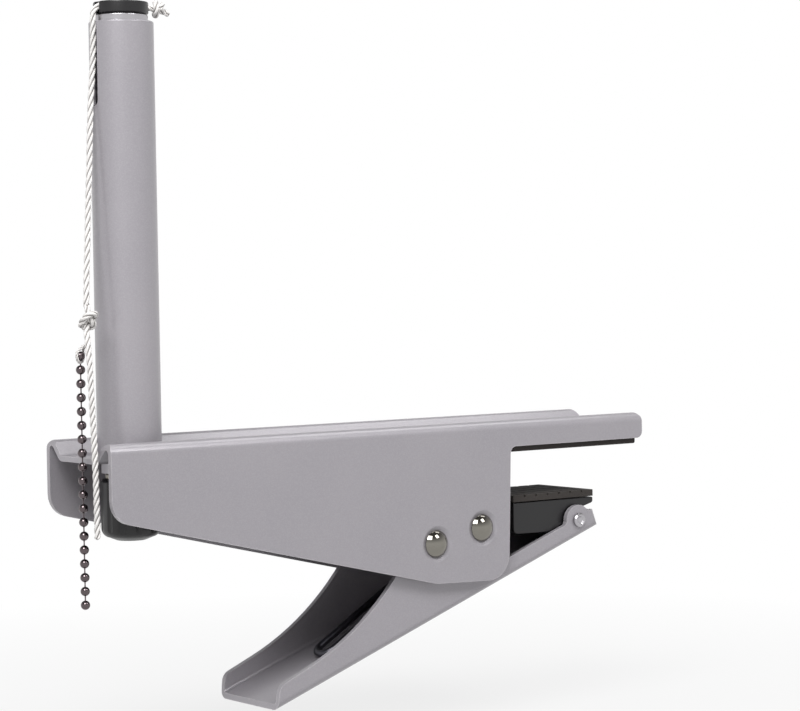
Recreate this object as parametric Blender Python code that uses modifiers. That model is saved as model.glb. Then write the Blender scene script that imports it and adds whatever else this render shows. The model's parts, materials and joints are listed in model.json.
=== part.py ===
"""Table tennis net clamp: a spring clip on the table's edge that carries one post of the net.

Metres, +Z up. The origin is the middle of the rubber pad's underside, which sits on the playing
surface. +X points along the net towards the table, so the table's edge lies at x = EDGE_X.
"""

import math

import bmesh
import bpy
from mathutils import Matrix, Vector

# ---------------------------------------------------------------- clearances
GAP = 0.0003
PIN_GAP = 0.0003

# ---------------------------------------------------------------- bracket: one folded sheet
SHEET = 0.0018
BRACKET_WIDTH = 0.0422
BRACKET_TOP = 0.0113
FOLD_RADIUS = 0.0024
TROUGH_SLOPE = math.radians(45)
WEB_RADIUS = 0.0030
WEB_UNDERSIDE = 0.0046
ARM_LENGTH = 0.0618
ARM_UNDERSIDE = 0.0021
ARM_CORNER = 0.0030
THROAT_RADIUS = 0.0025
POST_LIMIT = 0.1525
BRACKET_OVERHANG = 0.0085
END_CORNER = 0.0080
END_TOP_CORNER = 0.0025
END_DEPTH = 0.0129
HEEL_DEPTH = 0.0435
HEEL_BACK = 0.0336
TOE_DEPTH = 0.0446
TOE_BACK = 0.0016
HEEL_RADIUS = 0.0070
TOE_RADIUS = 0.0090

# ---------------------------------------------------------------- pads on the table
PAD_THROAT_GAP = 0.0026
PAD_END_GAP = 0.0016
PAD_CORNER = 0.0010

# ---------------------------------------------------------------- post
POST_RADIUS = 0.0105
POST_WALL = 0.0015
POST_RIM = 0.1464
SLOT_WIDTH = 0.0042
SLOT_DEPTH = 0.0274
INNER_WALL = 0.0012
CAP_SEAT = 0.1488
CAP_RADIUS = 0.0089
CAP_HEIGHT = 0.0040
CAP_PLUG = 0.0090
CAP_WALL = 0.0016
CAP_EDGE = 0.0006

# ---------------------------------------------------------------- height adjuster
FOOT_LENGTH = 0.0155
SPIGOT_RADIUS = 0.0050
FOOT_NUT_FLATS = 0.0160
FOOT_NUT_HEIGHT = 0.0039
SCREW_RADIUS = 0.0030
SCREW_SPARE = 0.0163
COLLAR_RADIUS = 0.0062
COLLAR_HEIGHT = 0.0034
NUT_LENGTH = 0.0120
NUT_FLANGE = 0.0018
NUT_STANDOFF = 0.0100
WASHER_RADIUS = 0.0080
WASHER_HEIGHT = 0.0013
KNOB_RADIUS = 0.0097
KNOB_HEIGHT = 0.0190
KNOB_DOME = 0.0012
KNOB_EDGE = 0.0030
KNOB_FLUTES = 12
FLUTE_RADIUS = 0.0016
FLUTE_DEPTH = 0.0004

# ---------------------------------------------------------------- lever: a pressed channel
PIVOT_BACK = 0.0330
PIVOT_DEPTH = 0.0298
LEVER_ANGLE = math.radians(20)
LEVER_SIDE_GAP = 0.0015
LEVER_FLOOR = 0.0255
LEVER_BEND = 0.0020
HANDLE_REACH = 0.0782
HANDLE_WALL = 0.0073
HANDLE_TIP_LEAN = 0.0036
HANDLE_TIP_RADIUS = 0.0040
HANDLE_SWEEP = 0.0950
HANDLE_RISE = math.radians(38)
HANDLE_FALL = math.radians(60)
PIVOT_LUG = 0.0071
JAW_WALL = 0.0067
JAW_REACH = 0.0636
JAW_HEIGHT = 0.0060
JAW_LUG = 0.0054
JAW_NOSE_LENGTH = 0.0089
JAW_NOSE_WALL = 0.0070
PLAN_CORNER = 0.0030

# ---------------------------------------------------------------- rivets, sleeves, washers
RIVET_RADIUS = 0.0030
RIVET_HEAD = 0.0047
RIVET_DOME = 0.0026
PIVOT_SLEEVE_WALL = 0.0015
PIVOT_WASHER_RADIUS = 0.0068
SPRING_RIVET_BACK = 0.0129
SPRING_RIVET_DEPTH = 0.0257
SPRING_SLEEVE_WALL = 0.0010

# ---------------------------------------------------------------- torsion spring
WIRE = 0.0026
COIL_PITCH = 0.0031
COIL_TURNS = 3
BRIDGE_HALF = 0.0040
SPRING_REACH = 0.0460
UPPER_LEG = 0.0380
UPPER_HOOK = 0.0050
POINTS_A_TURN = 10

# ---------------------------------------------------------------- swivelling jaw
JAW_GAP = 0.0160
JAW_PIN_RADIUS = 0.0020
JAW_PIN_HEAD = 0.0025
JAW_PIN_CAP = 0.0012
SHOE_LENGTH = 0.0372
SHOE_BEHIND_PIN = 0.0281
SHOE_HEEL = 0.0034
SHOE_NOSE = 0.0034
SHOE_NOSE_RISE = 0.0014
SHOE_BOSS = 0.0039
JAW_PAD = 0.0024
JAW_PAD_GROOVE = 0.0008
JAW_PAD_GROOVES = 6

# ---------------------------------------------------------------- cord and ball chain
CORD_RADIUS = 0.00105
CORD_BEND = 0.0042
CORD_GROOVE = 0.0028
STOP_KNOT_RADIUS = 0.0024
KNOT_RADIUS = 0.0029
KNOT_HEIGHT = 0.0086
CHAIN_X = -0.0224
CHAIN_Y = -0.0088
BALL_RADIUS = 0.0015
BALL_PITCH = 0.0044
BALL_COUNT = 19
LINK_RADIUS = 0.0004
FIRST_BALL = 0.0392
NOOSE_RADIUS = 0.0022
NOOSE_CORD = 0.0006

# Points of the tensioned lead below the cap and of the loose tail below the knot,
# as distances from the post's axis along X and Y, and heights.
LEAD_ROUTE = [
    (-0.0106, -0.0001, 0.1360),
    (-0.0113, -0.0003, 0.1280),
    (-0.0122, -0.0006, 0.1190),
    (-0.0131, -0.0013, 0.1090),
    (-0.0141, -0.0022, 0.0980),
    (-0.0152, -0.0031, 0.0870),
    (-0.0165, -0.0045, 0.0760),
    (-0.0180, -0.0062, 0.0655),
    (-0.0190, -0.0075, 0.0580),
]
TAIL_ROUTE = [
    (-0.0207, -0.0109, 0.0425),
    (-0.0210, -0.0123, 0.0370),
    (-0.0212, -0.0131, 0.0300),
    (-0.0212, -0.0138, 0.0210),
    (-0.0212, -0.0145, 0.0110),
    (-0.0212, -0.0150, 0.0010),
    (-0.0213, -0.0154, -0.0090),
    (-0.0213, -0.0155, -0.0188),
]
KNOT_PLACE = (-0.0198, -0.0083, 0.0502)

# ---------------------------------------------------------------- how finely curves are drawn
STEPS = 40
LONGEST_FACET = 0.0045

# ---------------------------------------------------------------- derived places
PAD_LENGTH = ARM_LENGTH - PAD_THROAT_GAP - PAD_END_GAP
EDGE_X = -(PAD_THROAT_GAP + PAD_LENGTH / 2)
HALF_WIDTH = BRACKET_WIDTH / 2
CHEEK_INNER = HALF_WIDTH - SHEET
WEB_TOP = WEB_UNDERSIDE + SHEET
POST_X = EDGE_X - POST_LIMIT + POST_RADIUS
BRACKET_END = EDGE_X - POST_LIMIT - BRACKET_OVERHANG
PIVOT = Vector((EDGE_X - PIVOT_BACK, 0, -PIVOT_DEPTH))
SPRING_PIN = Vector((EDGE_X - SPRING_RIVET_BACK, 0, -SPRING_RIVET_DEPTH))
LEVER_WIDTH = 2 * (CHEEK_INNER - LEVER_SIDE_GAP)
LEVER_HALF = LEVER_WIDTH / 2
LEVER_INNER = LEVER_HALF - SHEET
BORE = POST_RADIUS - POST_WALL
INNER_RADIUS = BORE - GAP
INNER_BORE = INNER_RADIUS - INNER_WALL
INNER_TOP = CAP_SEAT - GAP
POST_FOOT = WEB_TOP + GAP
COLLAR_REST = POST_FOOT + FOOT_LENGTH + GAP
INNER_FOOT = COLLAR_REST + COLLAR_HEIGHT + NUT_STANDOFF + NUT_FLANGE + GAP
SCREW_TOP = INNER_FOOT - GAP + NUT_LENGTH + SCREW_SPARE
SCREW_HOLE = SCREW_RADIUS + PIN_GAP
KNOB_TOP = WEB_UNDERSIDE - FOOT_NUT_HEIGHT - WASHER_HEIGHT - 3 * GAP
LEAD_RUN = BORE + CORD_RADIUS + GAP
JAW_NOSE = JAW_REACH + JAW_NOSE_LENGTH


def on_lever(along, height, across=0.0):
    """World place of a point: along the lever from its pivot, above its floor's underside."""
    up = height - LEVER_FLOOR
    cos, sin = math.cos(LEVER_ANGLE), math.sin(LEVER_ANGLE)
    return PIVOT + Vector((along * cos - up * sin, across, along * sin + up * cos))


JAW_PIN = on_lever(JAW_REACH, JAW_HEIGHT)


# ---------------------------------------------------------------- scene and helpers
for old in list(bpy.data.objects):
    bpy.data.objects.remove(old, do_unlink=True)

PARTS = bpy.data.collections.new("net_clamp")
CUTTERS = bpy.data.collections.new("cutters")
for collection in (PARTS, CUTTERS):
    bpy.context.scene.collection.children.link(collection)


def material(name, red, green, blue, roughness, metallic=0.0):
    made = bpy.data.materials.new(name)
    made.use_nodes = True
    shader = made.node_tree.nodes["Principled BSDF"]
    shader.inputs["Base Color"].default_value = (red, green, blue, 1.0)
    shader.inputs["Roughness"].default_value = roughness
    shader.inputs["Metallic"].default_value = metallic
    made.diffuse_color = (red, green, blue, 1.0)
    return made


PAINT = material("silver enamel on steel", 0.42, 0.40, 0.43, 0.38, 0.45)
ZINC = material("zinc-plated steel", 0.56, 0.56, 0.58, 0.32, 1.0)
NICKEL = material("nickel-plated steel", 0.68, 0.67, 0.65, 0.16, 1.0)
BLACK = material("black polyamide", 0.022, 0.022, 0.025, 0.45)
NYLON = material("natural nylon", 0.72, 0.69, 0.60, 0.5)
RUBBER = material("brown-black rubber", 0.035, 0.027, 0.024, 0.75)
SPRING_STEEL = material("oiled spring steel", 0.10, 0.10, 0.11, 0.35, 1.0)
CHAIN = material("gunmetal ball chain", 0.22, 0.20, 0.20, 0.22, 1.0)
CORD = material("white polyester cord", 0.85, 0.84, 0.82, 0.8)


def add(name, data, finish, collection=PARTS):
    made = bpy.data.objects.new(name, data)
    collection.objects.link(made)
    if finish:
        data.materials.append(finish)
    if collection is CUTTERS:
        made.hide_render = True
        made.display_type = "WIRE"
    return made


def shade(mesh):
    mesh.shade_smooth()
    mesh.set_sharp_from_angle(angle=math.radians(35))


def filleted(corners, closed=True, degrees=15):
    """Corners given as (x, y, radius) turned into points, each radius drawn as an arc."""
    count = len(corners)
    points = []
    for index, (x, y, radius) in enumerate(corners):
        here = Vector((x, y))
        if radius <= 0 or (not closed and index in (0, count - 1)):
            points.append(here)
            continue
        back = (Vector(corners[index - 1][:2]) - here).normalized()
        ahead = (Vector(corners[(index + 1) % count][:2]) - here).normalized()
        half = back.angle(ahead) / 2
        centre = here + (back + ahead).normalized() * (radius / math.sin(half))
        start = here + back * (radius / math.tan(half)) - centre
        end = here + ahead * (radius / math.tan(half)) - centre
        turn = math.atan2(start.x * end.y - start.y * end.x, start.dot(end))
        by_angle = math.ceil(abs(turn) / math.radians(degrees))
        by_length = math.ceil(abs(turn) * radius / LONGEST_FACET)
        steps = max(2, by_angle, by_length)
        for step in range(steps + 1):
            arm = Matrix.Rotation(turn * step / steps, 2) @ start
            points.append(centre + arm)
    return points


def as_mesh(curve_object):
    """The curve's solid as a mesh object with welded caps, in the curve's place."""
    graph = bpy.context.evaluated_depsgraph_get()
    mesh = bpy.data.meshes.new_from_object(curve_object.evaluated_get(graph))
    work = bmesh.new()
    work.from_mesh(mesh)
    bmesh.ops.remove_doubles(work, verts=work.verts, dist=1e-6)
    bmesh.ops.recalc_face_normals(work, faces=work.faces)
    work.to_mesh(mesh)
    work.free()
    name = curve_object.name
    collection = curve_object.users_collection[0]
    place = curve_object.matrix_world.copy()
    curve = curve_object.data
    bpy.data.objects.remove(curve_object)
    bpy.data.curves.remove(curve)
    made = add(name, mesh, None, collection)
    made.matrix_world = place
    return made


UPRIGHT = (math.pi / 2, 0, 0)


def plate(name, outline, thickness, finish, collection=PARTS, turn=UPRIGHT, place=(0, 0, 0)):
    """A flat outline given thickness both ways; it stands in the XZ plane unless turned."""
    curve = bpy.data.curves.new(name, "CURVE")
    curve.dimensions = "2D"
    curve.fill_mode = "BOTH"
    curve.extrude = thickness / 2
    spline = curve.splines.new("POLY")
    spline.points.add(len(outline) - 1)
    for point, (x, y) in zip(spline.points, outline):
        point.co = (x, y, 0, 1)
    spline.use_cyclic_u = True
    made = add(name, curve, finish, collection)
    made.rotation_euler = turn
    made.location = place
    bpy.context.view_layer.update()
    solid = as_mesh(made)
    shade(solid.data)
    return solid


def turned(name, profile, finish, closed=False, steps=STEPS, collection=PARTS):
    """A profile of (radius, height) points, running down its outer side, spun about local Z."""
    mesh = bpy.data.meshes.new(name)
    work = bmesh.new()
    verts = [work.verts.new((radius, 0, height)) for radius, height in profile]
    for first, second in zip(verts, verts[1:]):
        work.edges.new((first, second))
    if closed:
        work.edges.new((verts[-1], verts[0]))
    work.to_mesh(mesh)
    work.free()
    made = add(name, mesh, finish, collection)
    spin = made.modifiers.new("spin", "SCREW")
    spin.axis = "Z"
    spin.angle = math.tau
    spin.steps = steps
    spin.render_steps = steps
    spin.use_merge_vertices = True
    spin.merge_threshold = 1e-5
    spin.use_smooth_shade = True
    return made


def ring_profile(inner, outer, low, high, edge=0.0002):
    """Closed profile of a plain ring with its four edges broken."""
    return [
        (outer - edge, high),
        (outer, high - edge),
        (outer, low + edge),
        (outer - edge, low),
        (inner + edge, low),
        (inner, low + edge),
        (inner, high - edge),
        (inner + edge, high),
    ]


def drum(name, radius, length, place, collection=CUTTERS, finish=None, sides=32, turn=(0, 0, 0)):
    """A cylinder centred on its place, along local Z."""
    mesh = bpy.data.meshes.new(name)
    work = bmesh.new()
    bmesh.ops.create_cone(
        work, cap_ends=True, segments=sides, radius1=radius, radius2=radius, depth=length
    )
    work.to_mesh(mesh)
    work.free()
    made = add(name, mesh, finish, collection)
    made.location = place
    made.rotation_euler = turn
    return made


def block(name, low, high, collection=CUTTERS, finish=None):
    """A box from its lowest to its highest corner."""
    mesh = bpy.data.meshes.new(name)
    work = bmesh.new()
    bmesh.ops.create_cube(work, size=1.0)
    size = Vector(high) - Vector(low)
    bmesh.ops.scale(work, vec=size, verts=work.verts)
    work.to_mesh(mesh)
    work.free()
    made = add(name, mesh, finish, collection)
    made.location = (Vector(low) + Vector(high)) / 2
    return made


def folded_sheet(name, section, start, end, finish):
    """A section of (y, z) points along local X, given the sheet's thickness about its middle."""
    mesh = bpy.data.meshes.new(name)
    work = bmesh.new()
    verts = [work.verts.new((start, y, z)) for y, z in section]
    edges = [work.edges.new(pair) for pair in zip(verts, verts[1:])]
    grown = bmesh.ops.extrude_edge_only(work, edges=edges)["geom"]
    moved = [item for item in grown if isinstance(item, bmesh.types.BMVert)]
    bmesh.ops.translate(work, vec=(end - start, 0, 0), verts=moved)
    bmesh.ops.recalc_face_normals(work, faces=work.faces)
    work.to_mesh(mesh)
    work.free()
    made = add(name, mesh, finish)
    thicken = made.modifiers.new("sheet", "SOLIDIFY")
    thicken.thickness = SHEET
    thicken.offset = 0
    thicken.use_even_offset = True
    return made


def combine(piece, tool, operation):
    step = piece.modifiers.new(f"{operation.lower()} {tool.name}", "BOOLEAN")
    step.operation = operation
    step.solver = "EXACT"
    step.object = tool


def wire(name, points, radius, finish, resolution):
    """A round wire through the points, with closed ends."""
    curve = bpy.data.curves.new(name, "CURVE")
    curve.dimensions = "3D"
    curve.bevel_depth = radius
    curve.bevel_resolution = resolution
    curve.use_fill_caps = True
    spline = curve.splines.new("POLY")
    spline.points.add(len(points) - 1)
    for point, place in zip(spline.points, points):
        point.co = (*place, 1)
    return add(name, curve, finish)


def smooth_route(points, spacing):
    """Points about one spacing apart on a smooth curve through the route's own points."""
    route = [Vector(point) for point in points]
    ends = [2 * route[0] - route[1]] + route + [2 * route[-1] - route[-2]]
    fine = []
    for before, here, ahead, after in zip(ends, ends[1:], ends[2:], ends[3:]):
        for step in range(16):
            t = step / 16
            blend = 2 * here + (ahead - before) * t
            blend += (2 * before - 5 * here + 4 * ahead - after) * t * t
            blend += (3 * here - before - 3 * ahead + after) * t**3
            fine.append(blend / 2)
    fine.append(route[-1])
    total = sum((b - a).length for a, b in zip(fine, fine[1:]))
    count = max(2, round(total / spacing))
    even, walked, target = [fine[0]], 0.0, total / count
    for a, b in zip(fine, fine[1:]):
        length = (b - a).length
        while walked + length >= target and len(even) < count:
            even.append(a.lerp(b, (target - walked) / length))
            target += total / count
        walked += length
    even.append(fine[-1])
    return even


def arc(centre, radius, start, end, steps):
    """Points (x, z) of an arc about a centre, by angle."""
    return [
        (
            centre[0] + radius * math.cos(start + (end - start) * step / steps),
            centre[1] + radius * math.sin(start + (end - start) * step / steps),
        )
        for step in range(steps + 1)
    ]


ALONG_Y = (-math.pi / 2, 0, 0)


# ---------------------------------------------------------------- bracket
def make_bracket():
    """Cheeks, rounded folds and sunken web in one sheet, cut to the side's outline."""
    middle = HALF_WIDTH - SHEET / 2
    web = WEB_UNDERSIDE + SHEET / 2
    crest = BRACKET_TOP - SHEET / 2
    fold_centre = Vector((middle - FOLD_RADIUS, crest - FOLD_RADIUS))
    touch = fold_centre + FOLD_RADIUS * Vector((-math.sin(TROUGH_SLOPE), math.cos(TROUGH_SLOPE)))
    fold_corner = touch.y + (middle - touch.x) * math.tan(TROUGH_SLOPE)
    trough_corner = touch.x - (touch.y - web) / math.tan(TROUGH_SLOPE)
    low = -TOE_DEPTH - SHEET
    half = [
        (-middle, low, 0),
        (-middle, fold_corner, FOLD_RADIUS),
        (-trough_corner, web, WEB_RADIUS),
    ]
    section = half + [(-y, z, radius) for y, z, radius in reversed(half)]
    start = BRACKET_END - SHEET
    end = EDGE_X + ARM_LENGTH + SHEET
    bracket = folded_sheet("bracket", filleted(section, closed=False, degrees=18), start, end, PAINT)

    over = BRACKET_TOP + GAP
    side = [
        (BRACKET_END, over, END_TOP_CORNER),
        (BRACKET_END, -END_DEPTH, END_CORNER),
        (EDGE_X - HEEL_BACK, -HEEL_DEPTH, HEEL_RADIUS),
        (EDGE_X - TOE_BACK, -TOE_DEPTH, TOE_RADIUS),
        (EDGE_X, ARM_UNDERSIDE, THROAT_RADIUS),
        (EDGE_X + ARM_LENGTH, ARM_UNDERSIDE, THROAT_RADIUS),
        (EDGE_X + ARM_LENGTH, over, ARM_CORNER),
    ]
    outline = plate("bracket_outline", filleted(side), 2 * BRACKET_WIDTH, None, CUTTERS)
    combine(bracket, outline, "INTERSECT")
    hole = RIVET_RADIUS + PIN_GAP
    for name, place in (("pivot_hole", PIVOT), ("spring_rivet_hole", SPRING_PIN)):
        combine(bracket, drum(name, hole, 2 * BRACKET_WIDTH, place, turn=ALONG_Y), "DIFFERENCE")
    foot_hole = drum("foot_hole", SPIGOT_RADIUS + GAP, 4 * SHEET, (POST_X, 0, web))
    combine(bracket, foot_hole, "DIFFERENCE")
    return bracket


def make_arm_pad():
    """Rubber strip under the web of the arm; its underside is the face on the playing surface."""
    half_width = CHEEK_INNER - GAP
    section = [
        (-half_width, 0, 0.0006),
        (half_width, 0, 0.0006),
        (half_width, WEB_UNDERSIDE - GAP, PAD_CORNER),
        (-half_width, WEB_UNDERSIDE - GAP, PAD_CORNER),
    ]
    turn = (math.pi / 2, 0, math.pi / 2)
    plate("arm_pad", filleted(section, degrees=45), PAD_LENGTH, RUBBER, turn=turn)


# ---------------------------------------------------------------- post
def make_post_tube():
    """Outer tube, slotted at the top of its outboard side for the cord."""
    profile = ring_profile(BORE, POST_RADIUS, POST_FOOT, POST_RIM, 0.0003)
    tube = turned("post_tube", profile, PAINT, True)
    tube.location = (POST_X, 0, 0)
    half = SLOT_WIDTH / 2
    bottom = POST_RIM - SLOT_DEPTH
    slot = [
        (-half, bottom, half),
        (half, bottom, half),
        (half, POST_RIM + half, 0),
        (-half, POST_RIM + half, 0),
    ]
    turn = (math.pi / 2, 0, math.pi / 2)
    place = (POST_X - POST_RADIUS, 0, 0)
    cutter = plate("cord_slot", filleted(slot), 2 * BORE - POST_RADIUS, None, CUTTERS, turn, place)
    combine(tube, cutter, "DIFFERENCE")


def make_inner_tube():
    """Sliding tube that carries the cap and sets the net's height."""
    profile = ring_profile(INNER_BORE, INNER_RADIUS, INNER_FOOT, INNER_TOP)
    tube = turned("inner_tube", profile, ZINC, True)
    tube.location = (POST_X, 0, 0)


def make_cap():
    """Moulded cap, hollow from below, grooved across its top and notched outboard for the cord."""
    top = CAP_SEAT + CAP_HEIGHT
    plug = INNER_BORE - GAP
    low = CAP_SEAT - CAP_PLUG
    roof = CAP_SEAT - CAP_WALL
    profile = [
        (0, top),
        (CAP_RADIUS - 2 * CAP_EDGE, top),
        (CAP_RADIUS - 0.3 * CAP_EDGE, top - 0.3 * CAP_EDGE),
        (CAP_RADIUS, top - CAP_EDGE),
        (CAP_RADIUS, CAP_SEAT + 0.0003),
        (CAP_RADIUS - 0.0003, CAP_SEAT),
        (plug, CAP_SEAT),
        (plug, low + 0.0004),
        (plug - 0.0004, low),
        (plug - CAP_WALL, low),
        (plug - CAP_WALL, roof),
        (0, roof),
    ]
    cap = turned("post_cap", profile, BLACK)
    cap.location = (POST_X, 0, 0)
    half = CORD_GROOVE / 2
    floor = top - 2 * CORD_RADIUS - GAP
    groove = block(
        "cap_groove",
        (POST_X - 2 * CAP_RADIUS, -half, floor),
        (POST_X + 2 * CAP_RADIUS, half, top + half),
    )
    notch_in = LEAD_RUN - CORD_BEND
    notch = block(
        "cap_notch",
        (POST_X - 2 * CAP_RADIUS, -half, CAP_SEAT - GAP),
        (POST_X - notch_in, half, top + 2 * half),
    )
    combine(cap, groove, "DIFFERENCE")
    combine(cap, notch, "DIFFERENCE")


# ---------------------------------------------------------------- height adjuster
def make_foot():
    """Turned plug in the post's foot; its spigot passes through the web and is held by a nut."""
    outer = BORE - GAP
    top = POST_FOOT + FOOT_LENGTH
    low = WEB_UNDERSIDE - GAP - FOOT_NUT_HEIGHT
    profile = [
        (outer - 0.0004, top),
        (outer, top - 0.0004),
        (outer, POST_FOOT),
        (SPIGOT_RADIUS, POST_FOOT),
        (SPIGOT_RADIUS, low + 0.0004),
        (SPIGOT_RADIUS - 0.0004, low),
        (SCREW_HOLE, low),
        (SCREW_HOLE, top),
    ]
    foot = turned("post_foot", profile, ZINC, True)
    foot.location = (POST_X, 0, 0)

    high = WEB_UNDERSIDE - GAP
    nut_radius = FOOT_NUT_FLATS / math.sqrt(3)
    middle = (POST_X, 0, high - FOOT_NUT_HEIGHT / 2)
    nut = drum("foot_nut", nut_radius, FOOT_NUT_HEIGHT, middle, PARTS, ZINC, 6)
    bore = drum("foot_nut_bore", SPIGOT_RADIUS + GAP, 2 * FOOT_NUT_HEIGHT, nut.location)
    combine(nut, bore, "DIFFERENCE")
    rim = nut_radius - 0.0012
    cone = [
        (rim, high + 0.0010),
        (rim + 0.0040, high - 0.0012),
        (rim + 0.0040, high - FOOT_NUT_HEIGHT + 0.0012),
        (rim, high - FOOT_NUT_HEIGHT - 0.0010),
        (0, high - FOOT_NUT_HEIGHT - 0.0010),
        (0, high + 0.0010),
    ]
    cone = cone[-1:] + cone[:-1]
    chamfer = turned("foot_nut_chamfer", cone, None, collection=CUTTERS, steps=24)
    chamfer.location = (POST_X, 0, 0)
    combine(nut, chamfer, "INTERSECT")


def make_screw():
    """Height screw, fixed in the knob below and kept down by a collar above the foot."""
    low = KNOB_TOP - KNOB_HEIGHT + KNOB_EDGE + 2 * GAP
    profile = [
        (0, SCREW_TOP),
        (SCREW_RADIUS - 0.0007, SCREW_TOP),
        (SCREW_RADIUS, SCREW_TOP - 0.0007),
        (SCREW_RADIUS, low + 0.0005),
        (SCREW_RADIUS - 0.0005, low),
        (0, low),
    ]
    screw = turned("height_screw", profile, ZINC, steps=24)
    screw.location = (POST_X, 0, 0)

    ring = ring_profile(SCREW_HOLE, COLLAR_RADIUS, COLLAR_REST, COLLAR_REST + COLLAR_HEIGHT)
    collar = turned("screw_collar", ring, ZINC, True, 32)
    collar.location = (POST_X, 0, 0)

    plug = INNER_BORE - GAP
    seat = INNER_FOOT - GAP
    profile = [
        (plug - 0.0004, seat + NUT_LENGTH),
        (plug, seat + NUT_LENGTH - 0.0004),
        (plug, seat),
        (INNER_RADIUS - 0.0003, seat),
        (INNER_RADIUS - 0.0003, seat - NUT_FLANGE),
        (SCREW_HOLE, seat - NUT_FLANGE),
        (SCREW_HOLE, seat + NUT_LENGTH),
    ]
    nut = turned("height_nut", profile, NYLON, True)
    nut.location = (POST_X, 0, 0)


def make_knob():
    """Black knob under the web: rounded at its foot, fluted, bored for the screw."""
    bottom = KNOB_TOP - KNOB_HEIGHT
    screw_foot = bottom + KNOB_EDGE + GAP
    corner = (KNOB_RADIUS - KNOB_EDGE, bottom + KNOB_EDGE)
    edge = arc(corner, KNOB_EDGE, 0, math.radians(-80), 5)
    outside = [
        (KNOB_RADIUS - 0.0008, KNOB_TOP),
        (KNOB_RADIUS, KNOB_TOP - 0.0008),
        *edge,
        (KNOB_RADIUS / 2, bottom - KNOB_DOME * 0.75),
        (0, bottom - KNOB_DOME),
    ]
    bore = [(0, screw_foot), (SCREW_HOLE, screw_foot), (SCREW_HOLE, KNOB_TOP)]
    knob = turned("height_knob", bore + outside, BLACK, steps=48)
    knob.location = (POST_X, 0, 0)
    for index in range(KNOB_FLUTES):
        angle = math.tau * (index + 0.5) / KNOB_FLUTES
        reach = KNOB_RADIUS + FLUTE_RADIUS - FLUTE_DEPTH
        x = POST_X + reach * math.cos(angle)
        place = (x, reach * math.sin(angle), KNOB_TOP - KNOB_HEIGHT / 2)
        flute = drum(f"flute_{index}", FLUTE_RADIUS, 2 * KNOB_HEIGHT, place, sides=12)
        combine(knob, flute, "DIFFERENCE")

    high = KNOB_TOP + GAP + WASHER_HEIGHT
    ring = ring_profile(SCREW_HOLE, WASHER_RADIUS, high - WASHER_HEIGHT, high)
    washer = turned("thrust_washer", ring, NYLON, True, 32)
    washer.location = (POST_X, 0, 0)


# ---------------------------------------------------------------- lever
def make_lever():
    """Pressed channel, open upwards: finger tray outboard, lug at the pivot, shallow jaw end."""
    middle = LEVER_HALF - SHEET / 2
    floor = SHEET / 2 - LEVER_FLOOR
    wall_top = PIVOT_LUG + SHEET
    section = [
        (-middle, wall_top, 0),
        (-middle, floor, LEVER_BEND),
        (middle, floor, LEVER_BEND),
        (middle, wall_top, 0),
    ]
    lever = folded_sheet(
        "lever",
        filleted(section, closed=False, degrees=20),
        -HANDLE_REACH - SHEET,
        JAW_NOSE + SHEET,
        PAINT,
    )

    def at(height):
        return height - LEVER_FLOOR

    rise = math.tan(HANDLE_RISE)
    fall = math.tan(HANDLE_FALL)
    rise_at_pivot = PIVOT_LUG / math.cos(HANDLE_RISE)
    fall_at_pivot = PIVOT_LUG / math.cos(HANDLE_FALL)
    peak = (fall_at_pivot - rise_at_pivot) / (rise + fall)
    tip = -HANDLE_REACH + HANDLE_TIP_LEAN
    gentle = math.tan(math.radians(3))
    start = at(HANDLE_WALL)
    bend = (start - gentle * tip - rise_at_pivot) / (rise - gentle)
    below = -LEVER_FLOOR - SHEET
    lean = HANDLE_TIP_LEAN * SHEET / HANDLE_WALL
    side = [
        (-HANDLE_REACH - lean, below, 0),
        (JAW_NOSE, below, 0),
        (JAW_NOSE, at(JAW_NOSE_WALL), 0.0018),
        (JAW_REACH + JAW_LUG, at(JAW_NOSE_WALL), 0.0010),
        (JAW_REACH + JAW_LUG, at(JAW_HEIGHT + JAW_LUG), JAW_LUG * 0.98),
        (JAW_REACH - JAW_LUG, at(JAW_HEIGHT + JAW_LUG), JAW_LUG * 0.98),
        (JAW_REACH - JAW_LUG, at(JAW_WALL), 0.0010),
        ((fall_at_pivot - at(JAW_WALL)) / fall, at(JAW_WALL), 0.0120),
        (peak, rise_at_pivot + peak * rise, PIVOT_LUG),
        (bend, rise_at_pivot + bend * rise, HANDLE_SWEEP),
        (tip, start, HANDLE_TIP_RADIUS),
    ]
    outline = plate("lever_outline", filleted(side, degrees=12), 2 * LEVER_WIDTH, None, CUTTERS)
    plan = [
        (-HANDLE_REACH - lean, -LEVER_HALF, PLAN_CORNER),
        (JAW_NOSE, -LEVER_HALF, PLAN_CORNER),
        (JAW_NOSE, LEVER_HALF, PLAN_CORNER),
        (-HANDLE_REACH - lean, LEVER_HALF, PLAN_CORNER),
    ]
    plan_cut = plate("lever_plan", filleted(plan), 4 * LEVER_FLOOR, None, CUTTERS, (0, 0, 0))
    long = 2 * LEVER_WIDTH
    pivot_radius = RIVET_RADIUS + PIN_GAP
    pivot_hole = drum("lever_pivot_hole", pivot_radius, long, (0, 0, 0), turn=ALONG_Y)
    pin_place = (JAW_REACH, 0, at(JAW_HEIGHT))
    pin_radius = JAW_PIN_RADIUS + PIN_GAP
    pin_hole = drum("lever_jaw_hole", pin_radius, long, pin_place, sides=24, turn=ALONG_Y)
    frame = Matrix.Translation(PIVOT) @ Matrix.Rotation(-LEVER_ANGLE, 4, "Y")
    bpy.context.view_layer.update()
    for piece in (lever, outline, plan_cut, pivot_hole, pin_hole):
        piece.matrix_world = frame @ piece.matrix_world
    combine(lever, outline, "INTERSECT")
    combine(lever, plan_cut, "INTERSECT")
    combine(lever, pivot_hole, "DIFFERENCE")
    combine(lever, pin_hole, "DIFFERENCE")


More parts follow.
